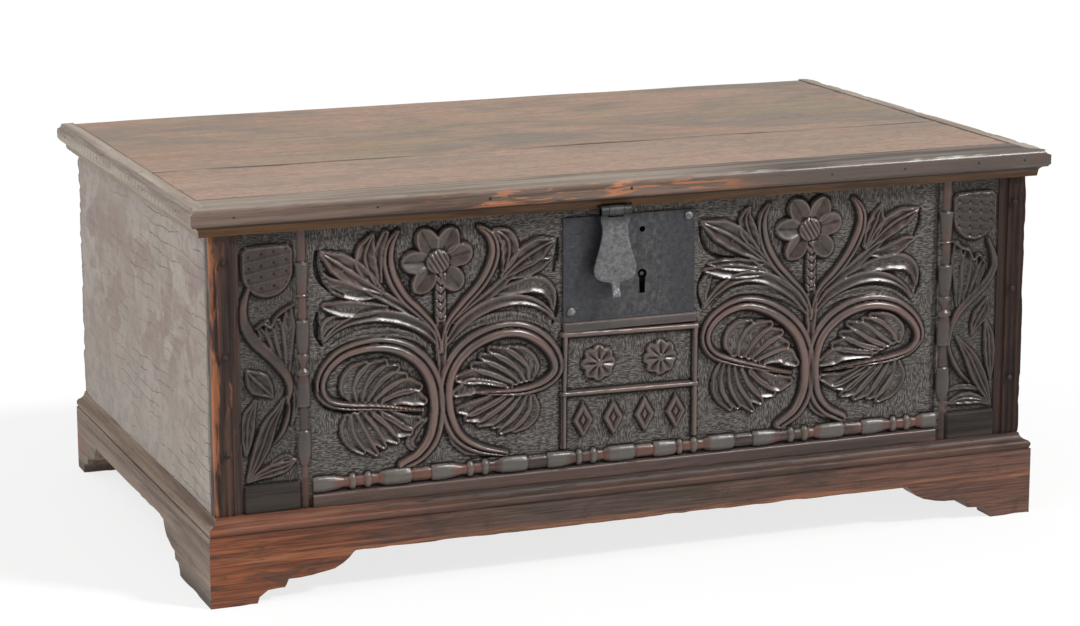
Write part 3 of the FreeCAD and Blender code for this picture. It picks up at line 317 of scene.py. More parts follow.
# Strokes of the two trees: form, height, half widths and path
TREE_STROKES = {
    "left": [
        (reed, 5.2, (4.5, 6.2, 6.6, 6.4, 6.2, 5.6, 4.8, 4.0, 3.4, 2.6, 1.2), [(-188, 90), (-174, 97),
         (-164, 110), (-160, 130), (-162, 150), (-170, 166), (-184, 178), (-200, 183.5), (-216, 184),
         (-233, 180), (-245, 171), (-251, 160), (-250, 150), (-243, 142.5), (-228, 139), (-208, 137),
         (-190, 134), (-172, 131)]),
        (reed, 5.2, (1.5, 3.2, 4.4, 5.6, 6.2, 6.4, 6.6, 6.4, 6.2, 5.4, 4.4, 2.6), [(-128, 140.5),
         (-110, 139), (-92, 138.5), (-76, 142), (-66, 149), (-64, 158), (-69, 169), (-79, 179),
         (-92, 185.5), (-106, 187), (-120, 184.5), (-134, 178), (-145, 168), (-152, 155), (-154, 140),
         (-151, 122), (-143, 107), (-128, 97), (-106, 91)]),
        (hollow, 4.2, (2.2, 4.0, 4.6, 4.6, 4.0, 2.6, 1.0), [(-156, 178), (-166, 190), (-180, 199),
         (-196, 204.5), (-211, 206), (-227, 203.5), (-239, 198), (-248, 190)]),
        (hollow, 4.2, (2.2, 4.0, 4.6, 4.6, 4.0, 2.6, 1.0), [(-152, 181), (-141, 194), (-126, 203.5),
         (-110, 208.5), (-95, 209), (-82, 205.5), (-72, 199), (-65, 191)]),
        (hollow, 2.4, (1.0, 2.6, 3.2, 3.0, 2.2, 1.0), [(-166, 178), (-178, 187), (-195, 192), (-212, 193),
         (-230, 190), (-246, 182)]),
        (hollow, 2.4, (1.0, 2.6, 3.4, 3.2, 2.2, 1.0), [(-147, 182), (-134, 191), (-118, 195.5),
         (-100, 196.5), (-84, 192.5), (-70, 184)]),
        (hollow, 3.9, (1.0, 2.6, 3.6, 4.6, 4.6, 3.2), [(-156.5, 150), (-156.5, 162), (-156.5, 174),
         (-157, 186), (-157, 200)]),
        (reed, 4.6, (1.8, 4.0, 4.8, 4.8, 4.4, 4.0, 3.2, 2.4, 1.2), [(-190, 268), (-196, 258),
         (-197.5, 245), (-193.5, 231), (-185, 217), (-174, 206), (-164, 195), (-159, 184), (-158, 174)]),
        (reed, 4.6, (1.2, 2.4, 3.2, 4.0, 4.4, 4.8, 4.8, 4.0, 1.8), [(-156, 174), (-155, 185), (-150, 197),
         (-138, 210), (-126, 222), (-117.5, 235), (-114, 248), (-117, 259), (-126, 267)]),
        (hollow, 3.6, (1.6, 3.2, 3.6, 3.0, 2.6), [(-167, 196), (-183, 208), (-200, 219), (-217, 229),
         (-232, 240)]),
        (hollow, 3.6, (1.6, 3.0, 3.4, 3.0, 2.4), [(-146, 196), (-130, 207), (-115, 217), (-102, 228),
         (-88, 239)]),
        (leaf, 4.8, (2.4, 7.6, 9.6, 8.4, 1.4), [(-203, 224), (-217, 234), (-230, 243), (-240, 250),
         (-249, 256)]),
        (leaf, 4.8, (2.4, 7.0, 8.6, 6.8, 1.4), [(-207, 228), (-213, 240), (-215.5, 251), (-212.5, 260),
         (-209, 267)]),
        (hollow, 3.6, (1.0, 2.8, 3.4, 2.6), [(-203, 231), (-205, 245), (-204, 256), (-199, 267)]),
        (lobe, 5.0, (1.4, 4.4, 6.2, 5.2, 1.2), [(-204, 221), (-220, 223), (-234, 228.5), (-243, 234),
         (-248, 240)]),
        (lobe, 5.0, (1.4, 4.6, 6.6, 6.2, 2.0), [(-199, 211.5), (-216, 211.5), (-231, 213), (-241, 214.5),
         (-247, 216)]),
        (lobe, 3.6, (1.0, 2.6, 4.0, 3.0, 1.0), [(-228, 207), (-240, 205), (-247, 200), (-250, 192)]),
        (leaf, 4.8, (2.2, 6.4, 9.0, 8.0, 1.4), [(-107, 228), (-96, 237), (-85, 244), (-75, 249),
         (-66, 252)]),
        (leaf, 4.6, (2.2, 6.0, 7.4, 6.0, 1.4), [(-106, 233), (-102.5, 244), (-103, 254), (-108, 260),
         (-114, 263)]),
        (lobe, 5.0, (1.4, 4.0, 5.6, 4.8, 1.2), [(-105, 226), (-92, 230), (-82, 233.5), (-74, 236.5),
         (-69, 238)]),
        (lobe, 5.0, (1.4, 4.2, 6.0, 6.4, 4.6, 1.2), [(-114, 215), (-98, 218), (-84, 220), (-74, 217),
         (-68, 209), (-67, 200)]),
        (hollow, 2.6, (1.0, 2.8, 3.2, 1.0), [(-173, 98), (-182, 106), (-176, 118), (-168, 124)]),
        (hollow, 2.6, (0.8, 3.4, 3.4, 1.0), [(-152, 116), (-147, 106), (-137, 97), (-124, 92)]),
    ],
    "right": [
        (reed, 5.2, (4.5, 6.2, 6.6, 6.4, 6.2, 5.6, 4.8, 4.0, 3.4, 2.6, 1.2), [(122, 91), (137, 101),
         (145, 116), (147, 134), (145, 150), (138, 165), (125, 178), (108, 187.5), (92, 191), (77, 188),
         (65, 180), (59, 170), (60, 160), (67, 152), (81, 146), (100, 140.5), (118, 135.5), (132, 132)]),
        (reed, 5.2, (1.0, 2.4, 3.4, 4.4, 5.6, 6.2, 6.6, 6.4, 6.2, 5.4, 4.4), [(162, 131.5), (180, 133),
         (198, 134.5), (216, 136), (233, 139.5), (242, 146), (244, 156), (238, 167), (226, 177),
         (212, 182), (197, 183), (182, 180), (168, 172.5), (157, 161), (151.5, 147), (150.5, 130),
         (154, 112), (163, 100), (177, 92)]),
        (hollow, 4.2, (2.2, 4.0, 4.8, 4.8, 4.2, 2.8, 1.0), [(145, 180), (135, 193), (122, 203),
         (107, 210), (92, 212), (78, 208.5), (66, 200), (57, 190)]),
        (hollow, 4.2, (2.2, 4.0, 4.6, 4.6, 4.0, 2.6, 1.0), [(153, 181), (163, 191.5), (177, 199),
         (192, 203), (207, 203), (221, 198.5), (231, 191.5), (237, 184)]),
        (hollow, 2.4, (1.0, 2.8, 3.6, 3.2, 2.4, 1.0), [(141, 182), (128, 192), (112, 199), (96, 201.5),
         (80, 199), (66, 190)]),
        (hollow, 2.4, (1.0, 2.6, 3.2, 3.0, 2.2, 1.0), [(160, 182), (174, 189), (190, 192), (206, 192),
         (221, 188), (236, 179)]),
        (hollow, 3.9, (1.0, 2.6, 3.6, 4.6, 4.6, 3.2), [(148.5, 148), (148.5, 160), (149, 172), (149, 185),
         (148.5, 198)]),
        (reed, 4.6, (1.8, 4.0, 4.8, 4.8, 4.4, 4.0, 3.2, 2.4, 1.2), [(111, 267), (106, 257), (106, 245),
         (110, 232), (118, 219), (129, 207), (140, 196), (146, 185), (148, 174)]),
        (reed, 4.6, (1.2, 2.4, 3.2, 4.0, 4.4, 4.8, 4.8, 4.0, 1.8), [(149, 174), (151, 186), (157, 198),
         (169, 209), (180, 222), (188, 236), (191.5, 248), (190, 258), (184, 267)]),
        (hollow, 3.6, (1.6, 3.2, 3.6, 3.0, 2.4), [(139, 195), (125, 206), (110, 218), (96, 229),
         (82, 240)]),
        (hollow, 3.6, (1.6, 3.2, 3.6, 3.0, 2.4), [(160, 196), (174, 206), (188, 215), (201, 225),
         (213, 236)]),
        (leaf, 4.8, (2.4, 7.4, 10.0, 9.0, 2.0), [(106, 225), (92, 236), (79, 245), (67, 251), (56, 256)]),
        (leaf, 4.6, (2.2, 6.0, 7.4, 6.0, 1.4), [(102, 233), (96, 243), (92.5, 252), (92, 259),
         (95, 265)]),
        (lobe, 4.8, (1.4, 4.0, 5.4, 4.4, 1.2), [(110, 222), (95, 221), (82, 222), (72, 223), (62, 224)]),
        (lobe, 5.0, (1.4, 4.4, 6.2, 5.8, 1.6), [(113, 213.5), (97, 215), (82, 217), (70, 218),
         (59, 219)]),
        (lobe, 3.8, (1.0, 3.6, 4.2, 2.8, 1.0), [(64, 217), (59, 210), (57, 202), (58, 193)]),
        (leaf, 4.8, (2.2, 6.2, 8.4, 7.6, 1.4), [(197, 227), (208, 237), (219, 245), (230, 250),
         (241, 254)]),
        (leaf, 4.6, (2.0, 5.6, 7.0, 5.6, 1.2), [(195, 229), (200, 239), (204, 247), (206, 253),
         (209, 259)]),
        (lobe, 5.0, (1.4, 4.2, 5.6, 4.6, 1.2), [(199, 221), (213, 222), (224, 226), (231, 229.5),
         (238, 231)]),
        (lobe, 5.0, (1.4, 4.4, 6.2, 6.6, 4.8, 1.2), [(183, 206), (200, 211.5), (217, 214), (231, 212),
         (239, 204), (241, 194)]),
        (hollow, 3.0, (0.8, 3.2, 3.6, 1.0), [(147, 113), (153, 103), (162, 97), (172, 92)]),
    ],
}

# Fluted half leaves inside the scrolls: outer edge, middle line, inner edge and the number of flutes
FANS = [
    ([(-233, 131), (-236, 120), (-231, 110), (-222, 103)], [(-217, 132), (-209, 122), (-203, 113),
     (-197, 107)], [(-197, 131), (-187, 127), (-179, 125), (-169, 129)], 6),
    ([(-228, 143), (-236, 152), (-232, 163), (-220, 171)], [(-214, 143), (-207, 153), (-198, 160),
     (-188, 162)], [(-198, 139), (-186, 139), (-177, 136), (-168, 131)], 6),
    ([(-83, 147), (-79, 157), (-87, 167), (-100, 172.5)], [(-95, 146), (-104, 154), (-116, 161),
     (-129, 165)], [(-110, 141), (-125, 142), (-137, 141), (-150, 134)], 6),
    ([(-82, 133), (-79, 123), (-84, 114), (-95, 108)], [(-94, 134), (-102, 125), (-112, 118),
     (-121, 114)], [(-112, 137), (-126, 133.5), (-137, 131), (-150, 132)], 6),
    ([(72, 146), (66, 134), (67, 122), (76, 111)], [(84, 141.5), (87, 128), (94, 117), (102, 109)],
     [(104, 135.5), (114, 131), (123, 128.5), (134, 131)], 6),
    ([(80, 153), (74, 162), (79, 171), (91, 176)], [(96, 149), (104, 157), (112, 163), (122, 165)],
     [(110, 142), (119, 142.5), (127, 141), (135, 133)], 5),
    ([(229, 151), (231, 160), (222, 168), (208, 171)], [(214, 147), (202, 152), (191, 159), (180, 163)],
     [(198, 139.5), (184, 140), (172, 139), (158, 132)], 6),
    ([(228, 132), (232, 122), (227, 113), (217, 106)], [(212, 132), (202, 122), (193, 114), (184, 109)],
     [(194, 130), (181, 127), (170, 125), (157, 130)], 6),
]


def fan(relief, height, outer, middle, inner, count):
    """A fluted half leaf: flutes side by side on paths blended by a quadratic between its edges and middle.

    Each is as broad as the gap to its neighbours and round at its tip; their lengths and heights sway.
    """
    share = ((np.arange(count) + 0.5) / count)[:, None, None]
    paths = (2 * share - 1) * (share - 1) * np.array(outer, float)
    paths = paths + 4 * share * (1 - share) * np.array(middle, float)
    paths = paths + share * (2 * share - 1) * np.array(inner, float)
    gaps = np.linalg.norm(np.diff(paths, axis=0), axis=-1)
    gaps = np.vstack([gaps[:1], (gaps[1:] + gaps[:-1]) / 2, gaps[-1:]])
    for number, (path, gap) in enumerate(zip(paths, gaps)):
        half = np.clip(gap * 0.56, 1.3, 9.0)
        sway = math.sin(2.3 * number + outer[0][0])
        path[-1] += (path[-1] - path[-2]) * 0.22 * sway
        path[-2] += (path[-1] - path[-3]) * 0.05 * sway
        widths = (half[0], half[1], half[2], half[3] * 0.92, half[3] * 0.45)
        relief.stroke(lobe, height * (0.93 + 0.07 * sway), widths, path, wall=1.0)


# Deep dark cuts beside the outermost leaves: depth, half widths and path
TREE_CUTS = [
    (2.4, (1.0, 2.0, 2.4, 1.6, 0.8), [(-252, 257), (-252.5, 247), (-250, 237), (-243, 229), (-233, 224)]),
    (2.6, (1.0, 2.2, 2.2, 1.0), [(-252, 211), (-253, 202), (-252, 194), (-249, 187)]),
    (2.4, (0.8, 1.8, 2.0, 0.8), [(-62.5, 253), (-63, 243), (-65, 234), (-66, 228)]),
    (2.4, (0.8, 1.8, 1.8, 0.8), [(-64, 212), (-63, 204), (-64, 196), (-67, 188)]),
    (2.4, (0.8, 1.8, 2.0, 0.8), [(54, 253), (56, 243), (61, 234), (70, 229), (82, 227)]),
    (2.2, (0.8, 1.8, 1.8, 0.8), [(57, 217), (54, 208), (54, 199), (56, 190)]),
    (2.2, (0.8, 1.6, 1.8, 0.8), [(243, 254), (243, 246), (241, 238), (238, 233)]),
    (2.2, (0.8, 1.6, 1.8, 0.8), [(243, 206), (244, 199), (243, 192), (241, 186)]),
    (2.0, (0.8, 1.8, 1.6, 0.6), [(-253, 152), (-249, 143), (-241, 137.5), (-228, 134)]),
    (2.0, (0.6, 1.6, 1.6, 0.6), [(246, 150), (244, 143), (236, 137), (226, 134)]),
]

# Flowers: the middle, and the turn of each petal in degrees from the right
FLOWERS = (
    (-159.0, 243.0, (178.0, 231.0, 310.0, 14.0, 62.0, 118.0)),
    (146.0, 245.0, (176.0, 230.0, 311.0, 12.0, 60.0, 121.0)),
)
FLOWER_DISC = 9.0
PETAL_REACH = 17.5
PETAL_HALVES = (11.0, 8.8)
HATCH_PITCH = 3.3

# Their stems: the middle line, foot and top
STEMS = ((-157.0, 196.0, 236.0), (148.0, 195.0, 237.0))
STEM_HALF = 4.6
NICK_PITCH = 6.4


def flower(relief, middle_x, middle_z, turns):
    """A flower: oval petals creased along the middle and rising to the sides and rim, and a hatched disc.

    The disc is a low dome crossed by slanting grooves.
    """
    for turn in turns:
        way_x = math.cos(math.radians(turn))
        way_z = math.sin(math.radians(turn))
        dx = relief.x - middle_x - way_x * PETAL_REACH
        dz = relief.z - middle_z - way_z * PETAL_REACH
        out = (dx * way_x + dz * way_z) / PETAL_HALVES[0]
        off = (dz * way_x - dx * way_z) / PETAL_HALVES[1]
        far = np.hypot(out, off)
        bowl = 1.5 + 0.4 * np.clip(out, -1, 1) + 3.2 * unit(np.abs(off)) + 0.4 * unit(far) ** 5
        relief.add(bowl * unit((1.05 - far) / 0.1))
    far = np.hypot(relief.x - middle_x, relief.z - middle_z) / FLOWER_DISC
    dome = 5.8 * np.sqrt(unit(1.02 - far ** 2 * 0.55)) * unit((1.06 - far) / 0.1)
    hatch = np.abs(np.sin((relief.x * 0.85 + relief.z * 0.53) * math.pi / HATCH_PITCH))
    relief.add(dome - 1.5 * peak(hatch, 0.42) * (far < 0.95))


def herring_stem(relief, middle, low, high):
    """A flower's stem: a flat strip cut with rows of slanting nicks that meet along the middle."""
    off = np.abs(relief.x - middle)
    ends = unit((relief.z - low) / 2) * unit((high - relief.z) / 2)
    nick = np.abs(np.sin((relief.z - 1.1 * off) * math.pi / NICK_PITCH))
    top = 3.4 - 1.9 * peak(nick, 0.42) + 0.5 * peak(off, 0.9)
    relief.add(unit((STEM_HALF - off) / 0.9) * ends * top)


TABLET_LEFT = -60.0
TABLET_RIGHT = 52.0
LEDGE = (180.4, 187.6)

# Rolls that frame the two tablets below the lock: height, half widths and path
TABLET_ROLLS = (
    (4.2, (2.6, 2.6), [(-59, 178.6), (51, 176.8)]),
    (4.4, (2.3, 2.5, 2.3), [(-59.5, 132.6), (0, 132.0), (51, 131.4)]),
    (3.8, (2.0, 2.2), [(-58.2, 134), (-57.2, 176)]),
    (3.8, (2.2, 2.2), [(-58.6, 91), (-58.4, 130)]),
    (3.8, (2.2, 2.2), [(50, 91), (50, 130)]),
    (3.8, (2.2, 2.2), [(50, 134), (50.4, 175)]),
)

# Plain motifs of the tablets: places along, then the height of their middles and their half sizes
ROSETTES = ((-30.0, 21.0), 154.5, 14.5)
LOZENGES = ((-43.0, -18.0, 8.0, 34.0), 111.0, 8.5, 15.0)


def tablets(relief):
    """The middle below the lock: ledge, two framed tablets and their plain carved motifs."""
    relief.box(3.4, TABLET_LEFT + 1, TABLET_RIGHT - 1, *LEDGE)
    for height, widths, points in TABLET_ROLLS:
        relief.stroke(roll, height, widths, points)
    for x in ROSETTES[0]:
        rosette(relief, x, *ROSETTES[1:])
    for x in LOZENGES[0]:
        lozenge(relief, x, *LOZENGES[1:])


def rosette(relief, x, z, radius):
    """A plain eight-petalled rosette: petals as waves of the angle about a raised eye."""
    far = np.hypot(relief.x - x, relief.z - z) / radius
    angle = np.arctan2(relief.z - z, relief.x - x)
    edge = 0.86 + 0.14 * np.abs(np.cos(4 * angle))
    petals = 3.6 * (0.55 + 0.45 * np.abs(np.sin(4 * angle)) ** 1.5) * unit((edge - far) / 0.09)
    relief.add(np.maximum(petals, 4.2 * arch(far / 0.3)))


def lozenge(relief, x, z, half_width, half_height):
    """A lozenge with a sunk middle and a small boss."""
    out = np.abs(relief.x - x) / half_width + np.abs(relief.z - z) / half_height
    rim = 3.6 * unit((1.0 - out) / 0.12) * (0.45 + 0.55 * unit(np.abs(out - 0.3) / 0.35))
    relief.add(np.maximum(rim, 3.4 * arch(out / 0.34)))


# Depth of the tool marks in the ground, and heights of the fluted leaves and of the tulips
TOOL_DEPTH = 0.13
FAN_HEIGHT = 4.9
TULIP_HEIGHT = 3.9


def panel_relief(x0, x1, z0, z1, pitch, seed):
    """Height above the panel's ground: trees, flowers and tablets, softened as by long wear."""
    relief = Relief(x0, x1, z0, z1, pitch)
    for side in TREE_STROKES.values():
        for stroke in side:
            relief.stroke(*stroke)
    for curves in FANS:
        fan(relief, FAN_HEIGHT, *curves)
    for place in FLOWERS:
        flower(relief, *place)
    for stem in STEMS:
        herring_stem(relief, *stem)
    tablets(relief)
    relief.tool(TOOL_DEPTH, seed)
    for cut in TREE_CUTS:
        relief.stroke(plain, *cut, wall=1.8, cut=True)
    relief.h = soften(relief.h, 1)
    return relief


def carving_marks(relief):
    """Values for the finish: height, rub, and how far a point stands above its far and near surroundings."""
    return {
        "height": unit(relief.h / 5.0),
        # Low ridge and crest values are where the finish paints shade into recesses and creases
        "ridge": np.clip((relief.h - soften(relief.h, 26)) / 1.6, -1, 1),
        "crest": np.clip((relief.h - soften(relief.h, 7)) / 0.4, -1, 1),
        "rub": soften(relief.rub, 2),
    }


# Grounds and backs are distances in front of the box's middle
FRONT_AXES = ((1, 0, 0), (0, 0, 1), (0, -1, 0))
PANEL_GROUND = 198.0
PANEL_BACK = 186.5
STILE_GROUND = 200.0
STILE_BACK = 184.5
BODY_TOP = 274.7
RAIL_TOP = 89.0
PLINTH_TOP = 66.0
PANEL_EDGE = 258.8

# The lock's seat in the panel
SEAT_LEFT = -47.2
SEAT_RIGHT = 37.2
SEAT_LOW = 198.8
SEAT_TOP = 261.2

# Carved pieces of the panel: left, right, low and high side, pitch of the grid and seed
PANEL_PIECES = {
    "left_tree": (-PANEL_EDGE, TABLET_LEFT, RAIL_TOP, BODY_TOP, 0.68, 11),
    "right_tree": (TABLET_RIGHT, PANEL_EDGE, RAIL_TOP, BODY_TOP, 0.68, 12),
    "tablets": (TABLET_LEFT, TABLET_RIGHT, RAIL_TOP, SEAT_LOW, 0.6, 13),
}
SURROUND = (
    (TABLET_LEFT, TABLET_RIGHT, SEAT_TOP, BODY_TOP, 0.8, 14),
    (TABLET_LEFT, SEAT_LEFT, SEAT_LOW, SEAT_TOP, 0.8, 14),
    (SEAT_RIGHT, TABLET_RIGHT, SEAT_LOW, SEAT_TOP, 0.8, 14),
)


def carved_shell(relief, ground, back):
    """A carved board, its relief standing on the ground."""
    return block(FRONT_AXES, relief.x, relief.z, ground + relief.h, back)


def carved_piece(name, relief, ground, back, node, extra=()):
    """A carved board of the front as a piece, with further shells beside it."""
    shells = [carved_shell(relief, ground, back), *extra]
    piece(name, shells, CARVED_OAK, "box", [node], carving_marks(relief))


def make_panel():
    """The front panel in four pieces: two trees, the tablets and the strips round the lock."""
    for name, area in PANEL_PIECES.items():
        carved_piece(name, panel_relief(*area), PANEL_GROUND, PANEL_BACK, "front_panel")
    first, *others = [panel_relief(*area) for area in SURROUND]
    extra = [carved_shell(relief, PANEL_GROUND, PANEL_BACK) for relief in others]
    carved_piece("lock_surround", first, PANEL_GROUND, PANEL_BACK, "front_panel", extra)


# Strokes of each stile: form, height, half widths and path
STILE_STROKES = {
    "left": [
        (roll, 4.2, (1.8, 3.4, 4.2, 4.6, 4.4, 4.0, 3.0, 1.4), [(-305, 234), (-309, 221), (-308.5, 209),
         (-301.5, 196), (-290, 184), (-280, 172), (-275, 160), (-277, 147)]),
        (roll, 4.2, (1.0, 1.5, 1.3, 1.5, 1.0), [(-300, 204), (-294, 207.5), (-288.5, 204.5), (-285, 211),
         (-279, 216), (-271.5, 219.5)]),
        (leaf, 4.2, (1.0, 6.0, 9.0, 7.0, 1.2), [(-288, 152), (-292, 157), (-297, 162), (-302, 167),
         (-307, 173)]),
        (leaf, 4.2, (1.2, 4.4, 6.2, 6.0, 3.4, 1.0), [(-308, 92), (-302, 104), (-296, 118), (-291, 131),
         (-284, 142), (-279, 150)]),
        (roll, 4.0, (0.8, 1.8, 2.2, 1.4, 0.8), [(-288, 117), (-281, 126), (-277, 137), (-276, 146),
         (-278, 152)]),
        (leaf, 3.8, (1.0, 4.0, 5.6, 4.6, 1.2), [(-309, 110), (-308, 124), (-307, 136), (-304, 144),
         (-301, 150)]),
        (leaf, 4.0, (1.0, 3.0, 4.8, 4.4, 1.2), [(-308, 90), (-299, 94), (-289, 97), (-280, 99),
         (-272, 103)]),
        (hollow, 3.2, (0.8, 1.8, 2.0, 0.8), [(-291, 101), (-283, 105), (-278, 106), (-273, 104)]),
        (hollow, 3.0, (0.8, 1.6, 1.8, 1.0), [(-274, 130), (-271, 142), (-271, 154), (-274, 163)]),
    ],
    "right": [
        (roll, 4.2, (1.6, 3.0, 3.4, 3.8, 3.8, 3.4, 2.6, 1.2), [(303, 226), (308, 214), (309, 204),
         (303, 192), (291, 181), (279, 170), (272, 158), (270, 146)]),
        (roll, 4.2, (1.0, 1.5, 1.3, 1.5, 1.0), [(301, 207), (295, 214), (290, 210.5), (286, 218),
         (279, 221), (272, 226)]),
        (leaf, 4.2, (1.0, 4.0, 6.4, 5.2, 1.2), [(291, 150), (293, 157), (297, 164), (301, 170),
         (304, 178)]),
        (leaf, 4.2, (1.2, 4.4, 6.4, 6.0, 3.4, 1.0), [(309, 92), (303, 105), (296, 119), (290, 131),
         (283, 141), (277, 149)]),
        (roll, 4.0, (0.8, 1.8, 2.2, 1.6, 0.8), [(290, 110), (281, 119), (274, 130), (270, 141),
         (269, 151)]),
        (leaf, 3.8, (1.0, 3.6, 5.0, 4.4, 1.2), [(309, 112), (308, 124), (307, 136), (306, 148),
         (303, 160)]),
        (leaf, 4.0, (1.0, 3.0, 4.8, 4.4, 1.2), [(308, 91), (300, 95), (290, 97), (281, 97), (272, 95)]),
        (hollow, 3.2, (0.8, 1.8, 2.0, 0.8), [(272, 105), (280, 107), (288, 107), (298, 104)]),
    ],
}

# Tulips of the stiles: their two edges with the middle line between, and the number of flutes
TULIPS = {
    "left": ([(-283, 171), (-289, 183), (-295, 195), (-300, 204)], [(-279, 169), (-282, 184), (-285, 198),
             (-287, 208)], [(-275, 167), (-273, 185), (-271.5, 203), (-270, 219)], 4),
    "right": ([(285, 175), (292, 186), (298, 197), (302, 207)], [(281, 175), (285, 189), (287, 202),
              (289, 214)], [(276, 174), (274, 192), (272, 209), (270, 226)], 4),
}

# Seed heads: middle, half width, slope of the ruled lines and their spacing
SEED_HEADS = {"left": (-290.5, 247.5, 20.0, 0.17, 8.4), "right": (290.0, 247.5, 20.0, -0.12, 6.6)}
SEED_CROSS = 9.5

# Turned spindles of the frame: places up the stile, and along one repeat of the rail, with the half breadths
STILE_STATIONS = (66, 90, 98, 100, 106, 114, 124, 125, 127, 142, 143, 144, 150, 160, 166, 167, 169, 172,
                  174, 180, 181, 183, 190, 200, 207, 208, 210, 225, 226, 227, 240, 250, 251, 253, 275)
STILE_RADII = (0.55, 0.55, 0.5, 0.7, 0.94, 1.0, 0.88, 0.62, 0.64, 0.64, 0.9, 0.98, 1.0, 0.9, 0.72, 0.96,
               0.96, 0.5, 0.5, 0.94, 0.94, 0.68, 0.88, 1.0, 0.94, 0.58, 0.64, 0.64, 0.98, 0.7, 0.86, 1.0,
               0.6, 0.64, 0.64)
RAIL_RINGS = (-315.0, -222.0, -129.0, -41.0, 43.0, 138.0, 228.0, 320.0)
RAIL_STEPS = (-9.0, -7.5, -6.0, -4.5, -3.0, 3.0, 4.5, 6.0, 7.5, 9.0, 14.0, 16.0, 20.0, 27.0, 36.0, 39.5,
              40.5, 42.0, 54.0, 55.5, 56.5, 60.0, 66.0, 74.0, 80.0)
RAIL_HALVES = (0.62, 0.9, 0.95, 0.9, 0.62, 0.62, 0.9, 0.95, 0.9, 0.66, 0.56, 0.72, 0.92, 1.0, 0.97, 0.86,
               0.68, 0.74, 0.74, 0.68, 0.9, 1.0, 0.97, 0.82, 0.6)

# Each stile's spindle: its middle line and half breadth
STILE_SPINDLES = {"left": (-264.4, 5.6), "right": (265.6, 6.6)}
STILE_SEEDS = {"left": 21, "right": 22}
STILE_INNER = 259.0
STILE_OUTER = 312.0
RAIL_TURNING = 82.4
RAIL_BAND = 75.6
STILE_FOOT = 86.5


def from_nearest(value, pitch):
    """Distance to the nearest whole number of pitches, and to the nearest half way between two."""
    line = value / pitch
    return np.abs(line - np.round(line)) * pitch, (line - np.floor(line) - 0.5) * pitch


def seed_head(relief, middle_x, middle_z, half, slope, spacing):
    """A seed head: a rounded shield with a level top, ruled with slanting ridges and dotted with holes."""
    dx = relief.x - middle_x
    dz = relief.z - middle_z
    round_below = np.hypot(dx, np.minimum(dz, 0) * 0.93)
    out = np.maximum(np.maximum(round_below - half, np.abs(dx) - half), dz - 18.5 + 0.05 * np.abs(dx))
    out = np.maximum(out, (np.abs(dx) + dz) * 0.707 - 24.0)
    off, level = from_nearest(dz - slope * dx, spacing)
    cross_off, upright = from_nearest(dx, SEED_CROSS)
    dot = np.exp(-(level ** 2 + upright ** 2) / 1.3)
    ridges = 0.5 * peak(off, 0.9) + 0.2 * peak(cross_off, 0.8) - 1.0 * dot
    rim = 0.5 * peak(out + 1.6, 0.9)
    relief.add(unit(-out / 1.6) * (3.2 + ridges + rim))


def stile_relief(name, sign):
    """A stile's carving: seed head, stem, tulip, leaves, a plain foot and a spindle on its inner edge."""
    relief = Relief(*sorted((sign * STILE_OUTER, sign * STILE_INNER)), PLINTH_TOP, BODY_TOP, 0.56)
    for stroke in STILE_STROKES[name]:
        relief.stroke(*stroke, wall=1.1)
    fan(relief, TULIP_HEIGHT, *TULIPS[name])
    seed_head(relief, *SEED_HEADS[name])
    relief.tool(TOOL_DEPTH, STILE_SEEDS[name])
    relief.box(3.9, *sorted((sign * 311.5, sign * 269)), PLINTH_TOP - 2, STILE_FOOT)
    relief.box(1.2, *sorted((sign * 270.5, sign * 258)), PLINTH_TOP - 2, BODY_TOP + 5.3, wall=1.6)
    middle, breadth = STILE_SPINDLES[name]
    relief.spindle(False, middle, STILE_STATIONS, STILE_RADII, 4.4, breadth, 0.8)
    relief.h = soften(relief.h, 2)
    return relief


def make_stiles():
    """The two carved stiles."""
    for name, sign in SIDES:
        relief = stile_relief(name, sign)
        carved_piece(name + "_stile_carving", relief, STILE_GROUND, STILE_BACK, "front_%s_stile" % name)


def make_rail():
    """The bottom rail: a plain band below and a row of turned bulbs, drums and double rings above."""
    relief = Relief(-STILE_INNER, STILE_INNER, PLINTH_TOP, RAIL_TOP, 0.62)
    stations = np.array([ring + step for ring in RAIL_RINGS for step in RAIL_STEPS])
    halves = np.array(RAIL_HALVES * len(RAIL_RINGS))
    order = np.argsort(stations)
    relief.spindle(True, RAIL_TURNING, stations[order], halves[order], 4.3, 6.7)
    relief.box(4.0, -270, 270, PLINTH_TOP - 2, RAIL_BAND, wall=1.4)
    relief.h = soften(relief.h + 0.08 * ripple(grid(relief.x / 9, relief.z), 5.0, 31), 1)
    carved_piece("bottom_rail_carving", relief, STILE_GROUND, STILE_BACK, "bottom_rail")


# Mouldings
def fill(outline, gap):
    """Add points along the longer sides of a closed outline so that none is longer than the gap."""
    following = np.roll(outline, -1, 0)
    counts = np.maximum(1, np.ceil(np.linalg.norm(following - outline, axis=1) / gap).astype(int))
    index = np.repeat(np.arange(len(outline)), counts)
    share = (np.arange(len(index)) - np.repeat(np.cumsum(counts) - counts, counts)) / counts[index]
    return outline[index] + (following - outline)[index] * share[:, None]


def arc(start, end, bulge, steps=6):
    """Points along a shallow arc between two corners, bulging to the left of the way by the given amount."""
    start = np.array(start, float)
    end = np.array(end, float)
    t = np.linspace(0, 1, steps)[:, None]
    way = end - start
    left = np.array([-way[1], way[0]]) / np.hypot(*way)
    return list(start + way * t + left * bulge * 4 * t * (1 - t))


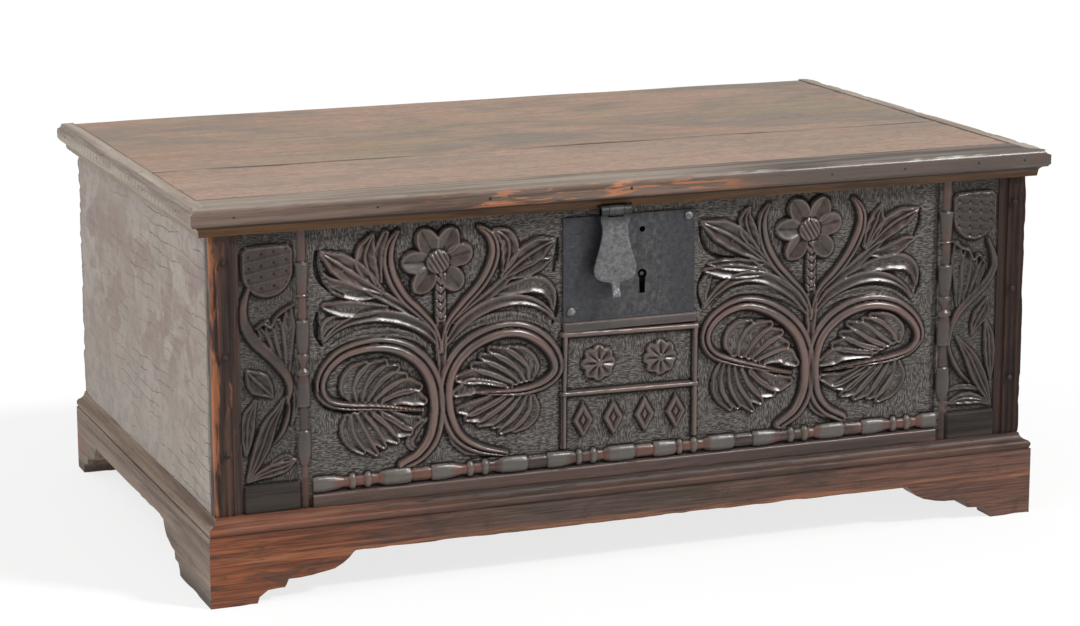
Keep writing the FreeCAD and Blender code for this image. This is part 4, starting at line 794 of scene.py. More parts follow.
def worn(rings, inward, amount, wave, seed):
    """Wear a moulding: push points towards their section's middle by smooth noise, most at outer corners."""
    way_in = rings.mean(1, keepdims=True) - rings
    way_in /= np.linalg.norm(way_in, axis=-1, keepdims=True)
    ahead = np.roll(rings, -1, 1) - rings
    behind = np.roll(rings, 1, 1) - rings
    lengths = np.linalg.norm(ahead, axis=-1) * np.linalg.norm(behind, axis=-1)
    turn = 1 + (ahead * behind).sum(-1) / (lengths + 1e-9)
    corner = unit(turn * 3)[..., None]
    outside = unit((9.0 - inward) / 2.0)[..., None]
    noise = ripple(rings, wave, seed)[..., None] + 0.6 * ripple(rings, wave * 0.35, seed + 1)[..., None]
    return rings + way_in * amount * outside * (0.15 + corner) * np.clip(noise + 0.2, 0, 2)


def mitred(place, thick, inward, low, high=math.inf):
    """Places along a moulding, its ends at low and high cut on the slant so that they meet the next one."""
    over = unit((low + thick - place) / thick)
    place = np.where(over > 0, low + thick - over * (thick - inward), place)
    over = unit((place - high + thick) / thick)
    return np.where(over > 0, high - thick + over * (thick - inward), place)


PLINTH_HALF = 341.5
PLINTH_FRONT = 213.0
PLINTH_THICK = 21.0
PLINTH_FLAT = 52.0
LID_BACK = 208.5

# A bracket foot's inner side: distance from the toe and height; the ends' feet are shorter by the scale
FOOT_STEPS = (
    (0.0, 0.0), (1.5, 4.5), (8.0, 9.0), (21.0, 10.0), (22.5, 12.5), (24.0, 16.0), (33.0, 16.6),
    (42.0, 17.4), (51.0, 18.8), (60.0, 20.5), (66.0, 23.5), (71.0, 27.5), (74.0, 31.0), (76.0, 32.5),
)
SIDE_FOOT_SCALE = 0.62
FRONT_TOE = 35.5
SIDE_TOES = (87.5, 20.0)


def plinth_section():
    """A base board's section as (inward, height): face, quirk, bead, cove and back."""
    face = [(0, 0.0), (0, 53.5), (1.0, 53.5), (1.0, 54.5)]
    bead = arc((1.0, 54.5), (2.4, 60.2), 1.5)
    cove = arc((3.4, 60.2), (7.4, PLINTH_TOP), -1.0)
    return np.array(face + bead[1:] + cove + [(PLINTH_THICK, PLINTH_TOP), (PLINTH_THICK, 0.0)])


def foot_edge(start, end, near_toe, far_toe, scale):
    """Stations along a base board and the height of its lower edge there: foot, cut-out and foot."""
    rise = [(near_toe + run * scale, height) for run, height in FOOT_STEPS]
    fall = [(far_toe - run * scale, height) for run, height in reversed(FOOT_STEPS)]
    edge = np.array([(start, 0.0)] + rise + fall + [(end, 0.0)])
    edge[:, 0] += np.arange(len(edge)) * 1e-3
    places = np.unique(np.concatenate([edge[:, 0], np.arange(start + 2, end, 4.0)]))
    return places[:, None], np.interp(places, edge[:, 0], edge[:, 1])[:, None]


def plinth_rings(lows):
    """Sections of a base board over its lower edge: the outline, its face stretched down to that edge."""
    inward, height = fill(plinth_section(), 5.0).T[:, None]
    below = lows + (PLINTH_FLAT - lows) * unit(height / PLINTH_FLAT)
    return inward, np.where(height < PLINTH_FLAT, below, height)


def make_plinth():
    """The base: a front board and two end boards with bracket feet, mitred at the front corners."""
    toe = PLINTH_HALF - FRONT_TOE
    x, lows = foot_edge(-PLINTH_HALF, PLINTH_HALF, -toe, toe, 1.0)
    inward, height = plinth_rings(lows)
    x = mitred(x, PLINTH_THICK, inward, -PLINTH_HALF, PLINTH_HALF)
    rings = worn(grid(x, inward - PLINTH_FRONT, height), inward, 0.3, 60.0, 41)
    piece("plinth_front_board", [loft(rings)], PLINTH_OAK, "box", ["plinth_front"])
    near = -PLINTH_FRONT
    y, lows = foot_edge(near, LID_BACK, near + SIDE_TOES[0], LID_BACK - SIDE_TOES[1], SIDE_FOOT_SCALE)
    inward, height = plinth_rings(lows)
    y = mitred(y, PLINTH_THICK, inward, near)
    for name, sign in SIDES:
        rings = worn(grid(sign * (PLINTH_HALF - inward), y, height), inward, 0.35, 60.0, 42 + sign)
        name = "plinth_" + name
        piece(name + "_board", [loft(rings)], SIDE_PLINTH_OAK, "box", [name])


END_OUTER = 334.5
END_INNER = 316.5
END_FRONT = -194.5
STRIP_FRONT = -206.5
REED_PITCH = 5.1


def make_corner_strips():
    """Corner strips: three reeds and a sunk fillet carried up the corner, the reeds worn in places."""
    section = [(0.0, 12.0), (0.0, 2.2)]
    for number in range(3):
        section += arc((number * REED_PITCH, 2.2), ((number + 1) * REED_PITCH, 2.2), 1.75, 8)[1:]
    section += [(15.6, 4.4), (22.5, 5.2), (22.5, 12.0)]
    inward, depth = fill(np.array(section), 2.0).T[:, None]
    z = np.linspace(PLINTH_TOP, BODY_TOP, 210)[:, None]
    for name, sign in SIDES:
        x = sign * (END_OUTER - inward)
        y = depth + STRIP_FRONT
        places = grid(x * 2, y * 2, z * 0.35)
        rub = np.clip(ripple(places, 22.0, 51 + sign) + 0.5, 0, 2) * 0.5
        rub = rub + np.clip(ripple(places, 7.0, 55 + sign), 0, 2) * 0.25
        x = x - sign * unit((1.2 - inward) / 1.2) * rub * 0.8
        y = y + rub * unit((5.5 - depth) / 4.0)
        shells = [loft(grid(x, y, z))]
        piece(name + "_corner_strip", shells, CORNER_OAK, "box", [name + "_corner_moulding"])


# Lid
LID_HALF = 350.0
LID_FRONT = -215.5
LID_TOP = 297.0
LID_UNDER = 275.4
CLEAT = 14.0
STRIP_BACK = -175.5
STRIP_WIDTH = 40.0
LID_JOINT = -50.5
HAIRLINE = 0.25

# The hasp's notch under the lid's front edge: left, right, back and roof
NOTCH = (-35.0, -7.0, -204.5, 278.4)


def lid_section(width):
    """A lid edge's section as (inward, height): flat top, rounded nosing, step, ovolo and underside."""
    nosing = arc((4.0, LID_TOP), (0.2, 293.0), 1.1) + [(0.2, 286.0)]
    step = arc((0.2, 285.2), (1.6, 283.5), 0.45, 4)
    ovolo = arc((3.0, 283.5), (8.0, 277.2), 1.5)
    return np.array([(width, LID_UNDER), (width, LID_TOP)] + nosing + step + ovolo + [(8.0, LID_UNDER)])


def make_lid_edges():
    """The lid's front moulding, notched for the hasp, and the two end cleats mitred to it."""
    left, right, back, roof = NOTCH
    inward, height = fill(lid_section(STRIP_WIDTH), 5.0).T[:, None]
    stations = np.arange(-LID_HALF, LID_HALF, 2.5)
    x = np.unique(np.concatenate([stations, [LID_HALF, left - 0.02, left, right, right + 0.02]]))[:, None]
    across = mitred(x, CLEAT, np.minimum(inward, CLEAT), -LID_HALF, LID_HALF)
    rings = worn(grid(across, inward + LID_FRONT, height), inward, 0.25, 60.0, 61)
    in_notch = (x >= left) & (x <= right) & (rings[..., 1] < back)
    rings[..., 2] = np.where(in_notch, np.maximum(rings[..., 2], roof), rings[..., 2])
    piece("lid_front_edge", [loft(rings)], EDGE_OAK, "lid", ["lid_front_moulding"])
    inward, height = fill(lid_section(CLEAT), 5.0).T[:, None]
    y = mitred(np.linspace(LID_FRONT, LID_BACK, 170)[:, None], CLEAT, inward, LID_FRONT)
    for name, sign in SIDES:
        rings = worn(grid(sign * (LID_HALF - inward), y, height), inward, 0.35, 50.0, 64 + sign)
        piece("lid_%s_edge" % name, [loft(rings)], CLEAT_OAK, "lid", ["lid_%s_cleat" % name])


TOP_AXES = ((1, 0, 0), (0, 1, 0), (0, 0, 1))


def split(x):
    """Half the open width of the split along the lid's joint: widest midway, nearly shut at the right."""
    opening = np.clip((x + 297) / 25, 0.05, 1) * np.clip((130 - x) / 150, 0.25, 1)
    return 0.55 * opening + 0.08 * np.sin(x / 9) * opening


def make_lid_boards():
    """The lid's two boards: slightly waved tops, a hairline gap round them and a split between them."""
    half = LID_HALF - CLEAT - HAIRLINE
    x = np.linspace(-half, half, 340)[:, None]
    share = np.linspace(0, 1, 90)[None, :]
    joint = LID_JOINT + 1.2 * np.sin(x / 60) + 0.5 * np.sin(x / 17)
    boards = (("front", STRIP_BACK + HAIRLINE, joint - split(x), 71),
              ("rear", joint + split(x), LID_BACK, 72))
    for name, near, far, seed in boards:
        y = near + (far - near) * share
        rim = np.minimum(np.minimum(y - near, far - y), half - np.abs(x))
        wave = 0.16 * ripple(grid(x / 4, y), 40.0, seed) + 0.05 * ripple(grid(x / 9, y), 6.0, seed + 5)
        top = LID_TOP - 0.45 + np.clip(wave, -0.42, 0.42) - 0.5 * np.exp(-np.clip(rim, 0, 9) / 0.7)
        marks = {"gap": np.exp(-np.clip(rim, 0, 30) / 2.2)}
        shells = [block(TOP_AXES, x, y, top, LID_UNDER)]
        piece("lid_%s_top" % name, shells, LID_OAK, "lid", ["lid_%s_board" % name], marks)


# Ends: the bites out of their back edges, as height, depth and reach
BITES = (
    (268, 3.0, 5), (256, 4.5, 6), (243, 5.0, 5), (232, 2.5, 8), (222, 3.5, 4), (207, 2.0, 6),
    (196, 4.0, 5), (178, 1.8, 9), (160, 2.2, 6), (142, 1.4, 10), (121, 2.6, 5), (104, 3.4, 4),
    (90, 1.2, 8),
)


def make_ends():
    """End boards: flat faces with slow waves; their back edges are bitten away, the left one's the most."""
    z = np.linspace(PLINTH_TOP, BODY_TOP, 180)
    bitten = np.zeros_like(z)
    for height, depth, reach in BITES:
        off = z - height
        bite = unit(1 - np.abs(off) / reach * np.where(off > 0, 1.0, 2.2))
        bitten = np.maximum(bitten, depth * bite ** 0.7)
    for (name, sign), seed, bite in zip(SIDES, (81, 82), (1.0, 0.35)):
        edge = (bitten + 0.4 * np.abs(ripple(z[:, None], 7.0, seed))) * bite
        far = LID_BACK - edge[None, :]
        share = np.linspace(0, 1, 220)[::sign, None]
        y = END_FRONT + (far - END_FRONT) * share
        rim = np.minimum(far - y, y - END_FRONT)
        wave = 0.3 * ripple(grid(y / 3, z), 60.0, seed + 1) + 0.1 * ripple(grid(y / 6, z), 9.0, seed + 2)
        out = END_OUTER - 0.6 + np.clip(wave, -0.55, 0.55) - 0.8 * np.exp(-np.clip(rim, 0, 20) / 1.6)
        axes = ((0, sign, 0), (0, 0, 1), (sign, 0, 0))
        marks = {"edge": np.exp(-np.clip(far - y, 0, 60) / 7.0)}
        shells = [block(axes, sign * y, z[None, :], out, END_INNER)]
        piece(name + "_end", shells, END_OAK, "box", [name + "_end_board"], marks)


# Nails: directions across, up and out of the side that a head faces
FACINGS = {
    "front": FRONT_AXES,
    "left": ((0, -1, 0), (0, 0, 1), (-1, 0, 0)),
    "right": ((0, 1, 0), (0, 0, 1), (1, 0, 0)),
}
EDGE_NAIL_HEIGHT = 289.9
EDGE_NAILS = (-318, -210, -123, -10, 157, 220, 285, 326)
CLEAT_NAILS = (42, 150, 285, 395)
NAIL_SUNK = 1.6
CORNER_NAIL_FRONT = -204.9
CORNER_NAILS = (112, 185, 255)
PLATE_FRONT = -200.4


def nail_heads(name, places, size, finish, body, node):
    """Forged nail heads: low uneven domes, each ring's radius the root of one less its height squared."""
    rise = np.linspace(0, 1, 5)[:, None]
    turn = np.linspace(0, 2 * math.pi, 14, endpoint=False)[None, :]
    shells = []
    for number, (facing, *place) in enumerate(places):
        across, up, out = np.array(FACINGS[facing], float)
        uneven = 1 + 0.08 * np.cos(3 * turn + number) + 0.06 * np.cos(2 * turn - number)
        radius = size * np.sqrt(1 - 0.93 * rise ** 2) * uneven
        flat = (radius * np.cos(turn))[..., None] * across + (radius * np.sin(turn))[..., None] * up
        shells.append(loft(np.array(place) + flat + 1.5 * rise[..., None] * out))
    piece(name, shells, finish, body, [node])


def make_nails():
    """Nail heads on the lid's edges, the corner strips and the lock plate."""
    places = [("front", x, LID_FRONT + NAIL_SUNK, EDGE_NAIL_HEIGHT) for x in EDGE_NAILS]
    for depth in CLEAT_NAILS:
        for name, sign in SIDES:
            places.append((name, sign * (LID_HALF - NAIL_SUNK), LID_FRONT + depth, EDGE_NAIL_HEIGHT))
    nail_heads("lid_nail_heads", places, 2.4, RUSTY_IRON, "lid", "lid_nails")
    places = [("front", x, CORNER_NAIL_FRONT, z) for x in (-324.3, 324.3) for z in CORNER_NAILS]
    nail_heads("corner_nail_heads", places, 2.4, RUSTY_IRON, "box", "corner_nails")
    places = [("front", 43.5, PLATE_FRONT, 263.5), ("front", -53.0, PLATE_FRONT, 196.0)]
    nail_heads("plate_nail_heads", places, 3.4, NAIL_IRON, "box", "lock_plate_nails")


# Hasp: the axis of its hinge, and its sections as height, half width, half thickness and bend forward
HASP_MIDDLE = -21.0
HASP_AXIS_Y = -209.5
HASP_AXIS_Z = 273.5
KNUCKLE_RADIUS = 3.9
HASP_STATIONS = [
    (268.5, 12.0, 1.5, 0.0), (265.5, 12.0, 1.6, 0.0), (261.5, 10.6, 1.7, 0.0), (258.0, 10.5, 1.7, 0.0),
    (252.0, 11.2, 1.7, 0.0), (245.0, 12.8, 1.7, 0.0), (238.0, 15.0, 1.7, 0.0), (232.0, 16.8, 1.7, 0.0),
    (228.0, 17.4, 1.7, 0.0), (224.5, 16.9, 1.7, 0.0), (221.5, 14.6, 1.6, 0.0), (219.6, 10.5, 1.5, 0.0),
    (218.6, 5.0, 1.4, 0.0), (217.6, 3.7, 1.4, -0.1), (214.5, 3.2, 1.4, -0.7), (211.5, 3.3, 1.5, -1.7),
    (209.4, 3.6, 1.7, -2.5), (207.6, 3.6, 1.2, -2.9),
]


def make_hasp():
    """The hasp: rounded sections carried down from its two knuckles to the belly and the narrow tongue."""
    stations = np.array(HASP_STATIONS)
    fine = np.linspace(0, len(stations) - 1, 90)
    rows = [np.interp(fine, np.arange(len(stations)), column)[:, None] for column in stations.T]
    height, half, thick, bend = rows
    turn = np.linspace(0, 2 * math.pi, 40, endpoint=False)
    across, through = (np.sign(wave) * np.abs(wave) ** 0.45 for wave in (np.cos(turn), np.sin(turn)))
    rings = grid(HASP_MIDDLE + half * across, HASP_AXIS_Y + bend + thick * through, height)
    dents = np.clip(ripple(rings, 8.0, 91) + ripple(rings, 3.6, 92), -1.5, 1.5)
    rings[..., 1] += np.where(through < 0, 0.22, -0.12) * dents
    shells = [loft(rings)]
    tube_y = HASP_AXIS_Y + KNUCKLE_RADIUS * np.cos(turn)
    tube_z = HASP_AXIS_Z + KNUCKLE_RADIUS * np.sin(turn)
    neck_y = HASP_AXIS_Y + np.array([-1.5, 1.5, 1.5, -1.5])
    neck_z = HASP_AXIS_Z + np.array([-6.0, -6.0, -1.0, -1.0])
    for start, end in ((-12.0, -6.3), (6.3, 12.0)):
        x = HASP_MIDDLE + np.array([start, end])
        shells.append(loft(grid(np.linspace(*x, 8)[:, None], tube_y, tube_z)))
        shells.append(loft(grid(x[:, None], neck_y, neck_z)))
    piece("hasp_forging", shells, HASP_IRON, "hasp", ["hasp"], sharp=70.0)


# Finishes
class Value:
    """A number on a surface, written as an expression: each operator adds the node that works it out."""

    def __init__(self, finish, socket):
        self.finish = finish
        self.socket = socket

    def math(self, operation, other=None, swap=False):
        pair = (other, self) if swap else (self, other)
        inputs = {k: v for k, v in enumerate(pair) if v is not None}
        return self.finish.node("ShaderNodeMath", {"operation": operation}, inputs)

    def __add__(self, other):
        return self.math("ADD", other)

    def __radd__(self, other):
        return self.math("ADD", other)

    def __sub__(self, other):
        return self.math("SUBTRACT", other)

    def __rsub__(self, other):
        return self.math("SUBTRACT", other, True)

    def __mul__(self, other):
        return self.math("MULTIPLY", other)

    def __abs__(self):
        return self.math("ABSOLUTE")

    def sine(self):
        return self.math("SINE")

    def between(self, low, high):
        """0 below low, 1 above high and smooth between."""
        return self.finish.node("ShaderNodeMapRange", {"interpolation_type": "SMOOTHSTEP"},
                                {"Value": self, "From Min": low, "From Max": high})

    def band(self, low, rise, fall, high):
        """0 below low and above high, 1 from rise to fall and smooth between."""
        return self.between(low, rise) * (1.0 - self.between(fall, high))


class Nodes:
    """A node tree and the shader that its values feed."""

    def __init__(self, tree, shader):
        self.tree = tree
        self.shader = tree.nodes[shader]

    def node(self, kind, settings, inputs, output=0):
        """Add a node of a kind: its settings first, then the values or links of its sockets."""
        made = self.tree.nodes.new(kind)
        for name, value in settings.items():
            setattr(made, name, value)
        for name, value in inputs.items():
            if isinstance(value, Value):
                self.tree.links.new(value.socket, made.inputs[name])
            else:
                made.inputs[name].default_value = value
        return Value(self, made.outputs[output])

    def mix(self, share, first, second):
        """A colour between two, by a share; a fixed colour is three numbers."""
        pair = [tint if isinstance(tint, Value) else (*tint, 1.0) for tint in (first, second)]
        inputs = {"Factor": share, 6: pair[0], 7: pair[1]}
        return self.node("ShaderNodeMix", {"data_type": "RGBA"}, inputs, 2)

    def layers(self, colour, *coats):
        """A colour under coats, each a share and the colour that it lays over those before it."""
        for share, tint in coats:
            colour = self.mix(share, colour, tint)
        return colour


COAT_ROUGHNESS = 0.34
COAT_IOR = 1.7


class Finish(Nodes):
    """One material, made from nodes on the piece's own places."""

    def __init__(self, name):
        self.material = bpy.data.materials.new(name)
        self.material.use_nodes = True
        super().__init__(self.material.node_tree, "Principled BSDF")
        self.place = self.node("ShaderNodeTexCoord", {}, {}, "Object")

    def noise(self, scale, detail=4.0, rough=0.55, warp=0.0, shift=(0, 0, 0)):
        """Noise on the object's places, stretched by a scale or three and shifted, about 0.5."""
        scale = scale if isinstance(scale, tuple) else (scale, scale, scale)
        scaled = self.node("ShaderNodeVectorMath", {"operation": "MULTIPLY"}, {0: self.place, 1: scale})
        place = self.node("ShaderNodeVectorMath", {"operation": "ADD"}, {0: scaled, 1: shift})
        inputs = {"Vector": place, "Scale": 1.0, "Detail": detail, "Roughness": rough, "Distortion": warp}
        return self.node("ShaderNodeTexNoise", {"noise_dimensions": "3D"}, inputs)

    def mark(self, name):
        """A value stored on the piece's points."""
        return self.node("ShaderNodeAttribute", {"attribute_name": name}, {}, "Fac")

    def part(self, axis):
        """One coordinate of the place, in metres."""
        return self.node("ShaderNodeSeparateXYZ", {}, {0: self.place}, axis)

    def put(self, name, value):
        """Feed one socket of the shader with a link or a fixed value."""
        if isinstance(value, Value):
            self.tree.links.new(value.socket, self.shader.inputs[name])
        else:
            self.shader.inputs[name].default_value = value

    def finish(self, colour, rough, bump=None, strength=0.5, distance=0.001, metal=0.0, coat=None,
               gloss=0.5):
        """Wire the surface: colour, roughness, bump, coat of wax, and fixed values for the rest."""
        self.put("Base Color", colour)
        self.put("Roughness", rough)
        self.put("Metallic", metal)
        self.put("Specular IOR Level", gloss)
        if coat is not None:
            self.put("Coat Weight", coat)
            self.put("Coat Roughness", COAT_ROUGHNESS)
            self.put("Coat IOR", COAT_IOR)
        if bump is not None:
            inputs = {"Strength": strength, "Distance": distance, "Height": bump}
            self.put("Normal", self.node("ShaderNodeBump", {}, inputs))
        return self.material


def along(axis, fine, coarse):
    """Scales of a grain that runs along one axis: coarse along it, fine across."""
    return tuple(coarse if number == axis else fine for number in range(3))


def grain(finish, axis, shift=0.0):
    """Oak grain along an axis: broad streaks, fine fibres and short open pores, each about 0 to 1."""
    offset = (shift, shift * 0.7, shift * 1.3)
    streaks = finish.noise(along(axis, 95.0, 5.0), 5.0, 0.6, 0.6, offset)
    fibres = finish.noise(along(axis, 750.0, 14.0), 3.0, 0.6, 0.2, offset)
    pores = finish.noise(along(axis, 1300.0, 55.0), 2.0, 0.5, 0.0, offset).between(0.62, 0.74)
    return streaks, fibres, pores


def lid_finish():
    """Greyish waxed oak: reddish and olive patches, dark pores, pale scratches and dirt in the joints."""
    f = Finish("lid_top_oak")
    streaks, fibres, pores = grain(f, 0)
    patch = f.noise((5.0, 9.0, 5.0), 5.0, 0.62, 1.0)
    olive = f.noise((4.0, 12.0, 5.0), 4.0, 0.6, 0.8, (4.0, 2.0, 1.0)).between(0.5, 0.64)
    orange = f.noise((9.0, 30.0, 5.0), 5.0, 0.65, 1.0, (8.0, 5.0, 1.0)).between(0.57, 0.7)
    mottle = f.noise((120.0, 220.0, 60.0), 5.0, 0.7, 0.6, (1.0, 5.0, 2.0))
    scratch = f.noise((40.0, 900.0, 60.0), 3.0, 0.6, 2.2, (6.0, 1.0, 2.0)).between(0.66, 0.76)
    flecks = f.noise((130.0, 620.0, 60.0), 4.0, 0.65, 0.3, (2.0, 7.0, 3.0)).between(0.55, 0.68)
    front = 1.0 - f.part("Y").between(-0.11, -0.02)
    under = 1.0 - f.part("Z").between(0.277, 0.285)
    dry = f.mix(streaks.between(0.38, 0.64), (0.27, 0.195, 0.135), (0.165, 0.112, 0.075))
    colour = f.layers(
        f.mix(patch.between(0.4, 0.57), (0.25, 0.205, 0.166), (0.4, 0.26, 0.19)),
        (front * 0.6, (0.45, 0.305, 0.235)),
        (olive * (1.0 - front * 0.7) * 0.6, (0.32, 0.255, 0.16)),
        (orange * 0.65, (0.44, 0.22, 0.125)),
        (streaks.between(0.45, 0.68) * 0.3, (0.18, 0.13, 0.105)),
        (flecks * 0.45, (0.16, 0.118, 0.096)),
        (mottle.between(0.44, 0.64) * 0.5, (0.19, 0.15, 0.125)),
        (fibres.between(0.4, 0.7) * 0.25, (0.46, 0.385, 0.32)),
        (pores * 0.6, (0.11, 0.085, 0.07)),
        (scratch * 0.4, (0.6, 0.54, 0.48)),
        (f.mark("gap").between(0.3, 0.85) * 0.85, (0.07, 0.052, 0.042)),
        (under * 0.85, f.mix(pores * 0.6, dry, (0.07, 0.05, 0.035))),
    )
    rough = 0.5 + streaks * 0.1 + pores * 0.16 - orange * 0.08 + under * 0.12
    bump = streaks * 0.2 + fibres * 0.3 - pores * 0.5 + mottle * 0.3
    return f.finish(colour, rough, bump, 0.35, 0.0006)


def edge_finish():
    """The lid's front edge: dark worn nosing with orange rubbed flakes, a golden-brown under-moulding and a
    painted shade line in the quirk between them.
    """
    f = Finish("lid_front_edge_oak")
    streaks, fibres, pores = grain(f, 0, 3.0)
    height = f.part("Z")
    across = f.part("X")
    on_top = height.between(0.2945, 0.2965)
    below = 1.0 - height.between(0.282, 0.2838)
    right = across.between(-0.02, 0.16)
    flakes = f.noise((22.0, 60.0, 260.0), 5.0, 0.65, 0.8).between(0.5, 0.58)
    flakes = flakes * across.band(-0.19, -0.12, 0.04, 0.14)
    face = f.mix(streaks.between(0.38, 0.66), (0.08, 0.052, 0.04), (0.17, 0.118, 0.092))
    face = f.mix(flakes * 0.85, face, (0.46, 0.17, 0.07))
    golden = f.mix(streaks.between(0.4, 0.62), (0.13, 0.064, 0.026), (0.04, 0.02, 0.011))
    seam = f.part("Y").between(-0.1782, -0.1758) * on_top
    dark_grain = (streaks * 0.5 + fibres * 0.5).between(0.42, 0.6)
    colour = f.layers(
        face,
        (on_top, f.mix(streaks.between(0.4, 0.66), (0.34, 0.285, 0.235), (0.19, 0.145, 0.118))),
        (below, golden),
        (fibres.between(0.45, 0.75) * (1.0 - below * 0.8) * 0.3, (0.29, 0.22, 0.175)),
        (pores * 0.6, (0.05, 0.035, 0.027)),
        # Painted shade: a dark line in the quirk under the nosing's step
        (height.band(0.2805, 0.2818, 0.2832, 0.2846) * 0.75, (0.03, 0.02, 0.014)),
        (seam * 0.7, (0.06, 0.045, 0.035)),
        (right * (1.0 - below) * (0.35 + dark_grain * 0.4), (0.045, 0.031, 0.025)),
    )
    rough = 0.36 + streaks * 0.16 + pores * 0.2 + on_top * 0.1 + below * 0.2 - right * 0.14
    bump = streaks * 0.4 + fibres * 0.3 - pores * 0.6 - flakes * 0.5
    return f.finish(colour, rough, bump, 0.4, 0.0007, coat=right * (1.0 - below) * 0.35, gloss=0.28)


def cleat_finish():
    """Pale dusty end cleats with dark cross nicks."""
    f = Finish("lid_cleat_oak")
    streaks, fibres, pores = grain(f, 1, 5.0)
    height = f.part("Z")
    nicks = f.noise((60.0, 130.0, 60.0), 4.0, 0.6, 1.5).between(0.6, 0.72)
    beat = (f.part("Y") * 620.0 + nicks * 2.0 + streaks * 9.0).sine().between(0.72, 0.95)
    nicks = nicks + beat * height.band(0.2845, 0.2865, 0.292, 0.2945) * fibres.between(0.42, 0.55)
    colour = f.layers(
        f.mix(streaks.between(0.36, 0.66), (0.41, 0.345, 0.285), (0.25, 0.195, 0.155)),
        (fibres.between(0.42, 0.72) * 0.45, (0.52, 0.455, 0.395)),
        (nicks * 0.6, (0.1, 0.08, 0.065)),
        ((1.0 - height.between(0.2805, 0.2845)) * 0.6, (0.3, 0.22, 0.14)),
        (pores * 0.5, (0.09, 0.07, 0.055)),
    )
    return f.finish(colour, 0.5 + streaks * 0.2, streaks * 0.4 + fibres * 0.4 - nicks * 0.8, 0.5, 0.0008)


def end_finish():
    """Dry pale grey oak: pinkish blotches, thin wavy crackle lines, short hairs, a dark cracked back edge.

    The insides of the boards are plain brown.
    """
    f = Finish("end_oak")
    depth = f.part("Y")
    height = f.part("Z")
    bend = f.noise((4.0, 9.0, 12.0), 3.0, 0.5, 0.4)
    shake = f.noise((40.0, 40.0, 60.0), 3.0, 0.6, 0.0, (2.0, 6.0, 1.0))
    broken = f.noise((10.0, 13.0, 26.0), 3.0, 0.6, 0.0, (1.0, 2.0, 8.0)).between(0.42, 0.55)
    wave = (height * 640.0 + bend * 16.0 + shake * 5.0).sine()
    lines = wave.between(0.955, 1.0) * broken * (1.0 - depth.between(0.02, 0.17) * 0.8)
    blotch = f.noise((8.0, 17.0, 24.0), 5.0, 0.62, 0.5, (2.0, 1.0, 3.0)).between(0.47, 0.57)
    blotch = blotch * height.band(0.1, 0.17, 0.235, 0.262)
    dust = f.noise((9.0, 10.0, 8.0), 5.0, 0.62, 0.5, (7.0, 3.0, 5.0))
    fibres = f.noise((500.0, 520.0, 40.0), 4.0, 0.65, 0.3)
    hairs = f.noise((300.0, 700.0, 60.0), 3.0, 0.6, 0.6, (3.0, 8.0, 1.0)).between(0.66, 0.76)
    mottle = f.noise((70.0, 70.0, 90.0), 5.0, 0.7, 0.4, (5.0, 2.0, 9.0))
    inside = 1.0 - abs(f.part("X")).between(0.3175, 0.324)
    colour = f.layers(
        f.mix(dust.between(0.35, 0.65), (0.34, 0.283, 0.24), (0.435, 0.382, 0.335)),
        (blotch * 0.95, (0.245, 0.152, 0.124)),
        (mottle.between(0.44, 0.64) * 0.55, (0.24, 0.2, 0.175)),
        (fibres.between(0.38, 0.68) * 0.25, (0.46, 0.42, 0.385)),
        (lines * 0.8, (0.1, 0.08, 0.068)),
        (hairs * 0.7, (0.1, 0.08, 0.068)),
        ((1.0 - depth.between(-0.1915, -0.1885)) * 0.5, (0.06, 0.047, 0.04)),
        (f.mark("edge").between(0.2, 0.9) * 0.85, (0.06, 0.046, 0.038)),
        (inside, f.mix(mottle.between(0.4, 0.66), (0.25, 0.175, 0.118), (0.16, 0.108, 0.072))),
    )
    rough = 0.62 - blotch * 0.14 + dust * 0.1
    return f.finish(colour, rough, fibres * 0.4 - lines * 0.6 - hairs * 0.5 + mottle * 0.4, 0.4, 0.0007)


